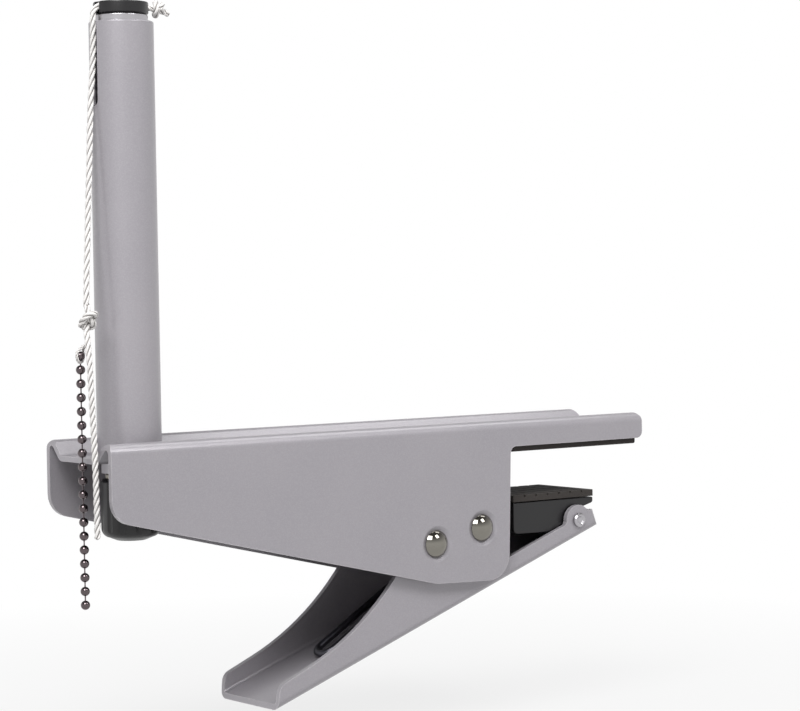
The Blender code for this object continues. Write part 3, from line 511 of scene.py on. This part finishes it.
def ball_with_link(with_link):
    only(camera)
    bpy.ops.mesh.primitive_uv_sphere_add(
        segments=24, ring_count=16, radius=BALL_RADIUS, location=(CHAIN_X, CHAIN_Y, FIRST_BALL)
    )
    ball = settle(bpy.context.object)
    for edge in (1, -1):
        bpy.ops.object.mode_set(mode="EDIT")
        bpy.ops.mesh.select_mode(type="FACE")
        bpy.ops.mesh.select_all(action="DESELECT")
        bpy.ops.object.mode_set(mode="OBJECT")
        for face in ball.data.polygons:
            face.select = edge * (face.center.z - FIRST_BALL) > 0.955 * BALL_RADIUS
        bpy.ops.object.mode_set(mode="EDIT")
        bpy.ops.mesh.dissolve_faces()
        bpy.ops.mesh.inset(thickness=0.00008)
        bpy.ops.mesh.extrude_region_move(TRANSFORM_OT_translate={"value": (0, 0, -edge * 0.00035)})
    bpy.ops.object.mode_set(mode="OBJECT")
    pieces = [ball]
    if with_link:
        only(camera)
        bpy.ops.mesh.primitive_cylinder_add(
            vertices=12,
            radius=LINK_RADIUS,
            depth=BALL_PITCH - 2 * BALL_RADIUS + 0.0008,
            location=(CHAIN_X, CHAIN_Y, FIRST_BALL - BALL_PITCH / 2),
        )
        link = settle(bpy.context.object)
        bpy.ops.object.mode_set(mode="EDIT")
        bpy.ops.mesh.select_all(action="SELECT")
        bpy.ops.mesh.bisect(
            plane_co=(CHAIN_X, CHAIN_Y, FIRST_BALL - BALL_PITCH / 2), plane_no=(0, 0, 1)
        )
        bpy.ops.transform.resize(value=(0.72, 0.72, 1))
        bpy.ops.object.mode_set(mode="OBJECT")
        pieces.append(link)
    only(*pieces)
    bpy.ops.object.join()
    return pieces[0]


linked = ball_with_link(True)
row = [linked]
for index in range(1, BALL_COUNT):
    if index < BALL_COUNT - 1:
        more = linked.copy()
        more.data = linked.data.copy()
        bpy.context.scene.collection.objects.link(more)
    else:
        more = ball_with_link(False)
    more.data.transform(Matrix.Translation((0, 0, -index * BALL_PITCH)))
    row.append(more)
only(*row)
bpy.ops.object.join()
chain = row[0]
chain.name = "bead_chain"
only(chain)
bpy.ops.object.shade_smooth_by_angle(angle=math.radians(50))
dress(chain, "chain", "gunmetal", "ball_chain")
measured(chain)

# %% [markdown]
# The first ball sits in a noose of thin cord tied to the tail just under the knot. The noose is a
# drop-shaped loop: its point is at the tail and its round end passes under the ball. The ball can
# swing in it.

# %% The noose
NOOSE_CORD = 0.00050
tail_near = tail[np.argmin(np.abs(tail[:, 2] - 0.0424))] + np.array((POST_X, 0, 0))
ball_middle = np.array((CHAIN_X, CHAIN_Y, FIRST_BALL))
apex = tail_near + np.array((-0.0006, 0.0010, 0.0004))
loop_way = np.array((0.87, 0.50, 0.0))
loop = [apex]
for share in np.linspace(0, 1, 17):
    a = math.tau * (0.14 + 0.72 * share)
    reach = BALL_RADIUS + NOOSE_CORD + 0.00008
    loop.append(ball_middle + reach * (math.sin(a) * loop_way + math.cos(a) * np.array((0, 0, 1))))
loop.append(apex + np.array((-0.0004, 0, -0.0002)))
loop = smooth_route([p - np.array((POST_X, 0, 0)) for p in loop], 0.0002)
noose, _, _ = sweep(
    "chain_noose_cord", loop, NOOSE_CORD / CORD_RADIUS, lay=0.5 * LAY_LENGTH, ends=(True, True)
)
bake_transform(noose)
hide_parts("chain_noose")
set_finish(noose, "cord")
measured(noose)

# %% [markdown]
# The lead is held taut between the cap and the knot, and the tail hangs with a heat-sealed bare end.

place = np.array((POST_X, 0, 0))

# %% [markdown]
# ## The double torsion spring
#
# The spring is one wire, 2.6 mm thick. Its middle is a narrow bridge that presses on the lever's
# floor, two coils ride on the sleeve of the inner rivet, and the two ends push up against the
# bracket. The wire is drawn as a curve with a round section and made a mesh.

# %% Wind the spring
PIVOT = (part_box("pivot_rivet")[0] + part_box("pivot_rivet")[1]) / 2
SPRING_PIN = (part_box("spring_rivet")[0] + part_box("spring_rivet")[1]) / 2
LEVER_ANGLE = math.radians(20)
LEVER_FLOOR = 0.0255
SHEET = 0.0018
WIRE = 0.0026
COIL_RADIUS = 0.0030 + 0.0003 + 0.0010 + 0.0003 + WIRE / 2


def on_lever(along, height):
    """Place of a point given along the lever from its pivot and above the floor's underside."""
    up = height - LEVER_FLOOR
    cos, sin = math.cos(LEVER_ANGLE), math.sin(LEVER_ANGLE)
    return PIVOT + Vector((along * cos - up * sin, 0, along * sin + up * cos))


def touching_angle(target, side_of):
    """Angle on the coil where a straight leg from the target touches it."""
    away = Vector((target[0] - SPRING_PIN.x, target[1] - SPRING_PIN.z))
    return math.atan2(away.y, away.x) + side_of * math.acos(COIL_RADIUS / away.length)


contact = on_lever(-0.0460, SHEET + 0.0003 + WIRE / 2)
web = 0.0046 - 0.0003 - WIRE / 2
upper_end = (SPRING_PIN.x - 0.0380, web)
first = touching_angle((contact.x, contact.z), 1)
last = touching_angle(upper_end, -1)
turn = (last - first) % math.tau + math.tau * 3
steps = 100
BRIDGE = 0.0040
half = []
for step in range(steps + 1):
    angle = first + turn * step / steps
    across = BRIDGE + 0.0031 * turn / math.tau * step / steps
    x = SPRING_PIN.x + COIL_RADIUS * math.cos(angle)
    half.append(Vector((x, across, SPRING_PIN.z + COIL_RADIUS * math.sin(angle))))
leg = Vector((contact.x - half[0].x, 0, contact.z - half[0].z))
reach = leg.length - BRIDGE
way = leg.normalized()
root = Vector((half[0].x, 0, half[0].z))
bridge = []
for step in range(13):
    angle = math.pi / 2 * step / 12
    out = root + way * (reach + BRIDGE * math.cos(angle))
    bridge.append(out + Vector((0, BRIDGE * math.sin(angle), 0)))
leg_points = [half[0] + way * reach * share for share in np.linspace(0.96, 0.04, 24)]
elbow = Vector((upper_end[0], half[-1].y, upper_end[1]))
upper = [half[-1].lerp(elbow, share) for share in np.linspace(0.08, 0.94, 12)]
hook = [elbow + Vector((-along, 0, 0)) for along in np.linspace(0.0012, 0.0050, 4)]
one_side = bridge + leg_points + half + upper + hook
path = [Vector((p.x, -p.y, p.z)) for p in reversed(one_side[1:])] + one_side

curve = bpy.data.curves.new("spring_wire", "CURVE")
curve.dimensions = "3D"
curve.bevel_depth = WIRE / 2
curve.bevel_resolution = 5
curve.use_fill_caps = True
line = curve.splines.new("POLY")
line.points.add(len(path) - 1)
for point, spot in zip(line.points, path):
    point.co = (*spot, 1)
spring = bpy.data.objects.new("wound_spring", curve)
bpy.context.scene.collection.objects.link(spring)
only(spring)
bpy.ops.object.convert(target="MESH")
spring = bpy.context.object
bpy.ops.object.mode_set(mode="EDIT")
bpy.ops.mesh.select_all(action="SELECT")
bpy.ops.mesh.remove_doubles(threshold=1e-6)
bpy.ops.mesh.normals_make_consistent(inside=False)
bpy.ops.object.mode_set(mode="OBJECT")
round_edges(spring, 0.0003, 2, 50)
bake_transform(spring)
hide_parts("torsion_spring")
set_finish(spring, "spring_steel")
measured(spring)

# %% [markdown]
# ## Turned pieces
#
# Rivets, pins, tubes, the cap and the knob are all round. The quickest sure way is the lathe's own:
# one vertex is extruded from point to point to draw half the section, the section is spun round its
# axis, and doubles are merged. The spin can leave a shape inside out, so its normals are
# recalculated afterwards.

# %% A lathe
def lathe(name, points, centre, axis="Z", sides=96, closed=False):
    """Spins a drawn section of (radius, height) points about an axis through centre."""
    only(camera)
    bpy.ops.mesh.primitive_plane_add(size=0.001, location=(0, 0, 0))
    piece = bpy.context.object
    piece.name = name
    bpy.ops.object.mode_set(mode="EDIT")
    bpy.ops.mesh.select_all(action="SELECT")
    bpy.ops.mesh.merge(type="CENTER")
    here = points[0]
    bpy.ops.transform.translate(value=(here[0], 0, here[1]))
    for radius, height in points[1:]:
        step = (radius - here[0], 0, height - here[1])
        bpy.ops.mesh.extrude_region_move(TRANSFORM_OT_translate={"value": step})
        here = (radius, height)
    if closed:
        step = (points[0][0] - here[0], 0, points[0][1] - here[1])
        bpy.ops.mesh.extrude_region_move(TRANSFORM_OT_translate={"value": step})
    bpy.ops.mesh.select_all(action="SELECT")
    bpy.ops.mesh.remove_doubles(threshold=1e-7)
    bpy.ops.mesh.spin(steps=sides, angle=math.tau, center=(0, 0, 0), axis=(0, 0, 1))
    bpy.ops.mesh.select_all(action="SELECT")
    bpy.ops.mesh.remove_doubles(threshold=2e-6)
    bpy.ops.mesh.normals_make_consistent(inside=False)
    bpy.ops.object.mode_set(mode="OBJECT")
    if axis == "Y":
        piece.data.transform(Matrix.Rotation(-math.pi / 2, 4, "X"))
    piece.data.transform(Matrix.Translation(centre))
    only(piece)
    bpy.ops.object.shade_smooth_by_angle(angle=math.radians(32))
    return piece


def quarter(centre, radius, start, end, steps):
    """Points of an arc in the section, by angle in degrees."""
    return [
        (
            centre[0] + radius * math.cos(math.radians(start + (end - start) * k / steps)),
            centre[1] + radius * math.sin(math.radians(start + (end - start) * k / steps)),
        )
        for k in range(steps + 1)
    ]


# %% [markdown]
# ## Pressed steel: the bracket and the lever
#
# Both are cut from 1.8 mm sheet, pressed to shape and painted. The solids already have the folds and
# the outline, but their cut edges are knife sharp. Real edges are tumbled before painting, so a
# merged copy gets every edge broken by a third of a millimetre, which is what draws the thin bright
# line round each cheek. The sheet is also pressed into a shallow coned dimple under each rivet head,
# so that the head sits home. A turned cutter with that cone is taken off both cheeks at once.

# %% Round the bracket's edges and dimple it at the rivets
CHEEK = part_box("bracket")[1].y
DIMPLE_RADIUS = 0.0063
DIMPLE_DEPTH = 0.00075
CUTTER_REACH = 0.002
BROKEN_EDGE = 0.0003

bracket = merged_copy("bracket", "pressed_bracket")
for rivet in (PIVOT, SPRING_PIN):
    upper_half = [
        (0, CHEEK + CUTTER_REACH),
        (DIMPLE_RADIUS + 0.0030, CHEEK + CUTTER_REACH),
        (DIMPLE_RADIUS + 0.0005, CHEEK + 0.00004),
        (DIMPLE_RADIUS - 0.0003, CHEEK - 0.00006),
        (0.0050, CHEEK - DIMPLE_DEPTH + 0.00008),
        (0.0046, CHEEK - DIMPLE_DEPTH),
        (0, CHEEK - DIMPLE_DEPTH),
    ]
    for side_of in (1, -1):
        section = [(radius, side_of * height) for radius, height in upper_half]
        cutter = lathe("dimple cutter", section, rivet, "Y", 96)
        cut = bracket.modifiers.new("dimple", "BOOLEAN")
        cut.operation = "DIFFERENCE"
        cut.solver = "EXACT"
        cut.object = cutter
        apply_all(bracket)
        bpy.data.objects.remove(cutter)
round_edges(bracket, BROKEN_EDGE, 2, 30)
dress(bracket, "bracket", "enamel", "bracket")
measured(bracket)

lever = merged_copy("lever", "pressed_lever")
round_edges(lever, BROKEN_EDGE, 2, 40)
dress(lever, "lever", "enamel", "lever")
measured(lever)

# %% [markdown]
# ## Rivets, pins and tubes
#
# A rivet's head is a low dome with a short straight rim, turned under to the shaft, and it sits in
# its dimple. The jaw's pin is peened over instead: its end is beaten into a ring with a hollow
# middle. The post is drawn tube with a rounded rim and a slot for the cord.

# %% Rivets and the jaw's pin
RIVET_SHAFT = 0.0030
RIVET_HEAD = 0.0047
RIVET_DOME = 0.00255


def rivet_section(shaft, head, dome, seat):
    """Half a rivet: a domed head with a short straight rim, turned under to the shaft."""
    rim = 0.0003
    ball = (head**2 + dome**2) / (2 * dome)
    middle = seat + rim + dome - ball
    sweep_angle = math.degrees(math.asin(head / ball))
    arch = quarter((0, middle), ball, 90, 90 - sweep_angle, 14)
    arch[0] = (0, seat + rim + dome)
    return [*arch, (head, seat + 0.0001), (head - 0.0002, seat), (shaft, seat)]


for name, node, spot in (
    ("pivot_rivet_domed", "pivot_rivet", PIVOT),
    ("spring_rivet_domed", "spring_rivet", SPRING_PIN),
):
    upper_half = rivet_section(RIVET_SHAFT, RIVET_HEAD, RIVET_DOME, CHEEK - DIMPLE_DEPTH + 0.00005)
    section = upper_half + [(radius, -height) for radius, height in reversed(upper_half)]
    rivet = lathe(name, section, spot, "Y", 72)
    dress(rivet, "bracket", "nickel", node)
    measured(rivet)

JAW_PIN = (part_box("jaw_pin")[0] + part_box("jaw_pin")[1]) / 2
pin_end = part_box("jaw_pin")[1].y
seat = pin_end - 0.0012
upper_half = [
    (0, pin_end - 0.0005),
    (0.0010, pin_end - 0.0005),
    (0.0013, pin_end - 0.0002),
    (0.0016, pin_end),
    (0.0021, pin_end - 0.0001),
    (0.0025, pin_end - 0.0006),
    (0.0025, seat + 0.0001),
    (0.0024, seat),
    (0.0020, seat),
]
section = upper_half + [(radius, -height) for radius, height in reversed(upper_half)]
jaw_pin = lathe("jaw_pin_peened", section, JAW_PIN, "Y", 48)
dress(jaw_pin, "lever", "zinc", "jaw_pin")
measured(jaw_pin)

# %% The post, the sliding tube and the cap
POST_RADIUS, BORE = 0.0105, 0.0090
post_low, post_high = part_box("post_tube")[0].z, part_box("post_tube")[1].z
section = [
    (BORE + 0.0004, post_high),
    *quarter((POST_RADIUS - 0.0006, post_high - 0.0006), 0.0006, 90, 0, 5),
    *quarter((POST_RADIUS - 0.0003, post_low + 0.0003), 0.0003, 0, -90, 3),
    (BORE, post_low),
    (BORE, post_high - 0.0004),
]
post = lathe("net_post", section, (POST_X, 0, 0), "Z", 128, closed=True)
only(camera)
bpy.ops.mesh.primitive_cylinder_add(
    vertices=32,
    radius=0.0021,
    depth=0.010,
    rotation=(0, math.pi / 2, 0),
    location=(POST_X - 0.0135, 0, post_high - 0.0274 + 0.0021),
)
slot_cutter = settle(bpy.context.object)
bpy.ops.object.mode_set(mode="EDIT")
bpy.ops.mesh.select_all(action="SELECT")
bpy.ops.mesh.bisect(
    plane_co=(POST_X, 0, post_high - 0.0253), plane_no=(0, 0, 1), clear_outer=True, use_fill=True
)
bpy.ops.mesh.select_mode(type="FACE")
bpy.ops.object.mode_set(mode="OBJECT")
for face in slot_cutter.data.polygons:
    face.select = face.normal.z > 0.9 and abs(face.center.z - post_high + 0.0253) < 1e-5
bpy.ops.object.mode_set(mode="EDIT")
bpy.ops.mesh.extrude_region_move(TRANSFORM_OT_translate={"value": (0, 0, 0.030)})
bpy.ops.object.mode_set(mode="OBJECT")
cut = post.modifiers.new("cord slot", "BOOLEAN")
cut.operation = "DIFFERENCE"
cut.solver = "EXACT"
cut.object = slot_cutter
apply_all(post)
bpy.data.objects.remove(slot_cutter)
round_edges(post, 0.00025, 2, 50)
dress(post, "bracket", "enamel", "post_tube")
measured(post)

for name, node, slot_name, width, least in (
    ("sliding_tube", "inner_tube", "zinc", 0.0002, 35),
    ("moulded_cap", "post_cap", "black_plastic", 0.00035, 35),
    ("turning_knob", "height_knob", "black_plastic", 0.0002, 35),
    ("foot_nut_turned", "foot_nut", "zinc", 0.0002, 25),
    ("swivel_shoe", "jaw_shoe", "black_plastic", 0.0004, 35),
    ("ribbed_jaw_pad", "jaw_pad", "rubber", 0.00015, 35),
    ("table_pad", "arm_pad", "rubber", 0.0003, 40),
):
    piece = merged_copy(node, name)
    round_edges(piece, width, 2, least)
    bodies = frame["record"]["behaviour"]["bodies"]
    body = next(b for b, members in bodies.items() if node in members)
    dress(piece, body, slot_name, node)
    measured(piece)

# %% [markdown]
# ## Finishes
#
# Every finish starts from what the part really is and how its surface was made. Colours are written
# as the hex values a paint chart would give, and one function turns them to the linear values that
# shaders use. One more function adds a node with its settings and links. Patterns read object
# coordinates, which are metres here, so the scale of a noise is one over the size of its grain.

# %% Helpers for finishes
def linear(code):
    """An sRGB hex colour as linear red, green, blue and alpha."""
    values = [int(code[i : i + 2], 16) / 255 for i in (1, 3, 5)]
    return [*(v / 12.92 if v <= 0.04045 else ((v + 0.055) / 1.055) ** 2.4 for v in values), 1.0]


def add_node(tree, kind, inputs=None, **settings):
    """Adds a node, sets its properties, and gives its inputs a value or another node's output."""
    made = tree.nodes.new(kind)
    for name, value in settings.items():
        setattr(made, name, value)
    for name, value in (inputs or {}).items():
        if isinstance(value, bpy.types.NodeSocket):
            tree.links.new(value, made.inputs[name])
        else:
            made.inputs[name].default_value = value
    return made


def per_mm(size):
    """Noise scale that gives grains of this many millimetres on object coordinates."""
    return 1000 / size


def new_finish(name):
    finish = bpy.data.materials.new(name)
    finish.use_nodes = True
    tree = finish.node_tree
    tree.nodes.clear()
    shader = add_node(tree, "ShaderNodeBsdfPrincipled")
    out = add_node(tree, "ShaderNodeOutputMaterial", {"Surface": shader.outputs["BSDF"]})
    place = add_node(tree, "ShaderNodeTexCoord")
    return finish, tree, shader, place


def blend_colours(tree, factor, first, second):
    """Two hex colours mixed by a socket."""
    mix = add_node(tree, "ShaderNodeMix", data_type="RGBA")
    tree.links.new(factor, mix.inputs[0])
    for slot_number, value in ((6, first), (7, second)):
        if isinstance(value, bpy.types.NodeSocket):
            tree.links.new(value, mix.inputs[slot_number])
        else:
            mix.inputs[slot_number].default_value = linear(value)
    return mix.outputs[2]


def spread_values(tree, value, low, high, from_low=0.0, from_high=1.0):
    """A socket's range turned into another range."""
    made = add_node(
        tree,
        "ShaderNodeMapRange",
        {"Value": value, "From Min": from_low, "From Max": from_high, "To Min": low, "To Max": high},
    )
    return made.outputs["Result"]


def bump_from(tree, shader, height, depth, below=None):
    """Raises the surface by a height socket, depth in millimetres from its lowest to its highest."""
    made = add_node(
        tree, "ShaderNodeBump", {"Height": height, "Strength": 1.0, "Distance": depth / 1000}
    )
    if below is not None:
        tree.links.new(below, made.inputs["Normal"])
    tree.links.new(made.outputs["Normal"], shader.inputs["Normal"])
    return made.outputs["Normal"]


# %% [markdown]
# ** Silver stoving enamel.** The bracket, the lever and the post are steel, sprayed with a silver
# enamel that carries fine aluminium flake and then baked. The eye sees an even warm grey with a soft
# broad shine, hardly any sparkle and a slight orange peel. A brighter line along each cut edge is a
# painted highlight, broken into patches. The flake is really about 0.05 mm across and is drawn at
# 0.30 mm so that it can show at all. The paint clouds a little, over 3 cm or so, where the spray
# passes overlap.

# %% Silver enamel
def silver_enamel():
    finish, tree, shader, place = new_finish("silver stoving enamel")
    where = place.outputs["Object"]
    cloud = add_node(tree, "ShaderNodeTexNoise", {"Vector": where, "Scale": per_mm(30), "Detail": 3.0})
    flake = add_node(tree, "ShaderNodeTexVoronoi", {"Vector": where, "Scale": per_mm(0.30)})
    flake_value = add_node(tree, "ShaderNodeSeparateColor", {"Color": flake.outputs["Color"]})
    base = blend_colours(tree, cloud.outputs["Fac"], "#97949A", "#A29EA3")
    spark = spread_values(tree, flake_value.outputs["Red"], 0.0, 0.4, 0.3, 1.0)
    sparkled = blend_colours(tree, spark, base, "#ABA7AC")
    # The lighter colour along each cut edge is a painted highlight, broken into patches by a noise.
    edge = add_node(tree, "ShaderNodeBevel", {"Radius": 0.0005}, samples=4)
    facing = add_node(tree, "ShaderNodeNewGeometry")
    bend = add_node(
        tree,
        "ShaderNodeVectorMath",
        {0: edge.outputs["Normal"], 1: facing.outputs["Normal"]},
        operation="DOT_PRODUCT",
    )
    edge_patch_noise = add_node(tree, "ShaderNodeTexNoise", {"Vector": where, "Scale": per_mm(3.5), "Detail": 5.0})
    painted_edge_highlight = spread_values(tree, bend.outputs["Value"], 1.0, 0.0, 0.84, 0.985)
    patchy = spread_values(tree, edge_patch_noise.outputs["Fac"], 0.25, 0.95, 0.35, 0.65)
    patchy_edge_highlight = add_node(tree, "ShaderNodeMath", {0: painted_edge_highlight, 1: patchy}, operation="MULTIPLY")
    painted_edge_highlight = blend_colours(tree, patchy_edge_highlight.outputs[0], sparkled, "#CDC9CC")
    tree.links.new(painted_edge_highlight, shader.inputs["Base Color"])
    tree.links.new(spread_values(tree, cloud.outputs["Fac"], 0.38, 0.48), shader.inputs["Roughness"])
    shader.inputs["Metallic"].default_value = 0.30
    shader.inputs["Coat Weight"].default_value = 0.45
    shader.inputs["Coat Roughness"].default_value = 0.16
    peel = add_node(tree, "ShaderNodeTexNoise", {"Vector": where, "Scale": per_mm(1.1), "Detail": 1.0})
    low = bump_from(tree, shader, peel.outputs["Fac"], 0.006)
    bump_from(tree, shader, flake_value.outputs["Green"], 0.0004, low)
    return finish


# %% [markdown]
# **Zinc plate.** Screws, nuts, sleeves and the sliding tube are zinc plated: pale blue-grey, bright,
# with a slight bloom. **Nickel plate** on the rivet heads is close to a mirror and a little warmer.
# ** Gunmetal** on the ball chain is the same mirror, nearly black. **Spring wire** is drawn and dark
# with oil, with a fine grain.

# %% Plated metals
def plated(name, colour, shade_colour, roughness, bloom, grain, depth):
    finish, tree, shader, place = new_finish(name)
    where = place.outputs["Object"]
    cloud = add_node(tree, "ShaderNodeTexNoise", {"Vector": where, "Scale": per_mm(bloom), "Detail": 4.0})
    blended = blend_colours(tree, cloud.outputs["Fac"], colour, shade_colour)
    tree.links.new(blended, shader.inputs["Base Color"])
    tree.links.new(
        spread_values(tree, cloud.outputs["Fac"], roughness * 0.7, roughness * 1.4), shader.inputs["Roughness"]
    )
    shader.inputs["Metallic"].default_value = 1.0
    fine = add_node(tree, "ShaderNodeTexNoise", {"Vector": where, "Scale": per_mm(grain), "Detail": 2.0})
    bump_from(tree, shader, fine.outputs["Fac"], depth)
    return finish


# %% [markdown]
# **Moulded black polyamide.** The cap, the knob and the shoe are injection moulded. The mould was
# spark eroded, which leaves a fine even grain about 0.3 mm across and a soft, slightly grey shine.
# **Rubber** is duller and browner, with talc in its pores. **Natural nylon** is a milky cream.

# %% Plastics and rubber
def moulded(name, colour, shade_colour, roughness, grain, depth, through=0.0):
    finish, tree, shader, place = new_finish(name)
    where = place.outputs["Object"]
    cloud = add_node(tree, "ShaderNodeTexNoise", {"Vector": where, "Scale": per_mm(9), "Detail": 5.0})
    fine = add_node(tree, "ShaderNodeTexVoronoi", {"Vector": where, "Scale": per_mm(grain)}, feature="SMOOTH_F1")
    blended = blend_colours(tree, cloud.outputs["Fac"], colour, shade_colour)
    tree.links.new(blended, shader.inputs["Base Color"])
    tree.links.new(
        spread_values(tree, cloud.outputs["Fac"], roughness - 0.06, roughness + 0.08), shader.inputs["Roughness"]
    )
    shader.inputs["Subsurface Weight"].default_value = through
    shader.inputs["Subsurface Radius"].default_value = (0.0012, 0.0010, 0.0008)
    bump_from(tree, shader, fine.outputs["Distance"], depth)
    return finish


# %% [markdown]
# ** Polyester cord.** Each strand is a bundle of fine filaments that run nearly along the cord. The
# UV map counts millimetres along and one turn round, so stripes that are long one way and narrow
# the other follow the filaments. They are drawn about 0.2 mm apart. The three grooves between the
# strands lie at a sixth, a half and five sixths of the turn, and are darkened with painted shade.

# %% Laid polyester
def laid_polyester():
    finish, tree, shader, place = new_finish("laid white polyester")
    route = add_node(tree, "ShaderNodeUVMap", uv_map="lay")
    leaned = add_node(
        tree,
        "ShaderNodeMapping",
        {"Vector": route.outputs["UV"], "Scale": (0.55, 33.0, 1.0)},
    )
    yarn = add_node(
        tree, "ShaderNodeTexNoise", {"Vector": leaned.outputs["Vector"], "Scale": 1.0, "Detail": 4.0}
    )
    slow = add_node(
        tree, "ShaderNodeTexNoise", {"Vector": place.outputs["Object"], "Scale": per_mm(6), "Detail": 2.0}
    )
    soil = blend_colours(tree, slow.outputs["Fac"], "#EBE8E6", "#F4F2F0")
    fleck = spread_values(tree, yarn.outputs["Fac"], 0.0, 0.35, 0.60, 0.36)
    fibres = blend_colours(tree, fleck, soil, "#C9C5C3")
    # The darker colour in the grooves between the strands is painted shade.
    turn = add_node(tree, "ShaderNodeSeparateXYZ", {"Vector": route.outputs["UV"]})
    lap = add_node(tree, "ShaderNodeMath", {0: turn.outputs["Y"], 1: 3 * math.tau}, operation="MULTIPLY")
    wave = add_node(tree, "ShaderNodeMath", {0: lap.outputs[0]}, operation="COSINE")
    painted_groove_shade = spread_values(tree, wave.outputs[0], 0.9, 0.0, -1.0, -0.35)
    tree.links.new(blend_colours(tree, painted_groove_shade, fibres, "#736E6B"), shader.inputs["Base Color"])
    shader.inputs["Roughness"].default_value = 0.62
    shader.inputs["Sheen Weight"].default_value = 0.15
    shader.inputs["Sheen Roughness"].default_value = 0.4
    bump_from(tree, shader, yarn.outputs["Fac"], 0.09)
    return finish


# %% Give every piece its finish
finishes = {
    "enamel": silver_enamel(),
    "zinc": plated("bright zinc plate", "#AFADB1", "#BBB9BC", 0.30, 6, 0.9, 0.0006),
    "nickel": plated("polished nickel plate", "#7E7B74", "#8A8780", 0.07, 3, 0.8, 0.0004),
    "gunmetal": plated("gunmetal plate", "#5C5456", "#6B6264", 0.14, 1.5, 0.6, 0.0006),
    "spring_steel": plated("oiled spring wire", "#3B3B40", "#55545A", 0.32, 2.5, 0.25, 0.006),
    "black_plastic": moulded("moulded black polyamide", "#0F0E10", "#161517", 0.34, 0.35, 0.004),
    "rubber": moulded("brown black rubber", "#2B2725", "#3A3532", 0.80, 0.45, 0.04),
    "nylon": moulded("natural nylon", "#D8D2C2", "#E4DFD2", 0.42, 0.40, 0.008, 0.15),
    "cord": laid_polyester(),
}
slot_of = {part["node"]: part["material_slot"] for part in frame["record"]["subparts"]}
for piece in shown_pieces():
    node = piece.get("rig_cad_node")
    slot_name = slot_of[node] if node else piece["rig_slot"]
    finish = finishes[slot_name]
    if len(piece.material_slots) == 0:
        piece.data.materials.append(finish)
    for slot in piece.material_slots:
        slot.material = finish

# %% [markdown]
# ## Light and floor
#
# Three large soft lamps light the clamp as in a small product studio: the key stands high to the
# left, a weaker one high to the right, and one behind draws a bright line along the bracket's fold.
# Their level is plain, so that a mid grey comes out about as it is written. The floor and the room
# are white where they are looked at, straight or in a shiny rivet, and the room darkens towards its
# ceiling, as a studio does above its lamps. The floor keeps a fifth of its own shading near the
# clamp, which leaves the shadow on it.

# %% Lamps
def add_lamp(name, spot, target, width, height, power):
    lamp = bpy.data.objects.new(name, bpy.data.lights.new(name, "AREA"))
    bpy.context.scene.collection.objects.link(lamp)
    lamp.data.shape = "RECTANGLE"
    lamp.data.size = width
    lamp.data.size_y = height
    lamp.data.energy = power
    lamp.location = spot
    lamp.rotation_euler = (Vector(target) - Vector(spot)).to_track_quat("-Z", "Y").to_euler()
    return lamp


middle = (-0.08, 0, 0.03)
add_lamp("key softbox", (-0.85, -0.62, 1.00), middle, 0.7, 0.7, 18.6)
add_lamp("fill softbox", (0.30, -0.85, 1.00), middle, 0.5, 0.5, 6.4)
add_lamp("fold softbox", (0.50, 0.05, 0.90), middle, 0.4, 0.4, 1.8)

# %% Floor and room
def looked_at(tree):
    """One where a surface is seen straight, reflected or through glass, and nought elsewhere."""
    ray = add_node(tree, "ShaderNodeLightPath")
    straight = add_node(
        tree,
        "ShaderNodeMath",
        {0: ray.outputs["Is Camera Ray"], 1: ray.outputs["Is Transmission Ray"]},
        operation="MAXIMUM",
    )
    both = add_node(
        tree,
        "ShaderNodeMath",
        {0: straight.outputs[0], 1: ray.outputs["Is Glossy Ray"]},
        operation="MAXIMUM",
    )
    return both.outputs[0]


# The handle's tip swings 12 mm below its place at rest, so the floor lies clear of that.
HANDLE_ROOM = 0.015
only(camera)
bpy.ops.mesh.primitive_plane_add(size=8, location=(0, 0, cad_low.z - HANDLE_ROOM))
floor = settle(bpy.context.object)
floor.name = "floor"
paper, tree, shader, place = new_finish("white paper floor")
shader.inputs["Base Color"].default_value = linear("#C4C4C4")
shader.inputs["Roughness"].default_value = 0.8
glow = add_node(tree, "ShaderNodeEmission", {"Color": (1, 1, 1, 1), "Strength": 1.0})
far = add_node(
    tree, "ShaderNodeVectorMath", {0: place.outputs["Object"], 1: (-0.08, 0, 0)}, operation="DISTANCE"
)
share = spread_values(tree, far.outputs["Value"], 0.80, 1.0, 0.12, 0.40)
lit = add_node(tree, "ShaderNodeMath", {0: looked_at(tree), 1: share}, operation="MULTIPLY")
mixed = add_node(
    tree, "ShaderNodeMixShader", {0: lit.outputs[0], 1: shader.outputs[0], 2: glow.outputs[0]}
)
add_node(tree, "ShaderNodeOutputMaterial", {"Surface": mixed.outputs[0]}).is_active_output = True
floor.data.materials.append(paper)

world = bpy.data.worlds.new("studio")
bpy.context.scene.world = world
world.use_nodes = True
tree = world.node_tree
tree.nodes.clear()
soft = add_node(tree, "ShaderNodeBackground", {"Color": (1, 1, 1, 1), "Strength": 0.20})
way = add_node(tree, "ShaderNodeTexCoord")
height = add_node(tree, "ShaderNodeSeparateXYZ", {"Vector": way.outputs["Generated"]})
dimming = spread_values(tree, height.outputs["Z"], 1.0, 0.14, 0.12, 0.80)
white = add_node(tree, "ShaderNodeBackground", {"Color": (1, 1, 1, 1), "Strength": dimming})
mixed = add_node(
    tree, "ShaderNodeMixShader", {0: looked_at(tree), 1: soft.outputs[0], 2: white.outputs[0]}
)
add_node(tree, "ShaderNodeOutputWorld", {"Surface": mixed.outputs[0]})
bpy.context.scene.view_settings.view_transform = "Standard"

# %% Print the solids' size
print("solids", [round(1000 * (b - a), 1) for a, b in zip(cad_low, cad_high)], "mm")
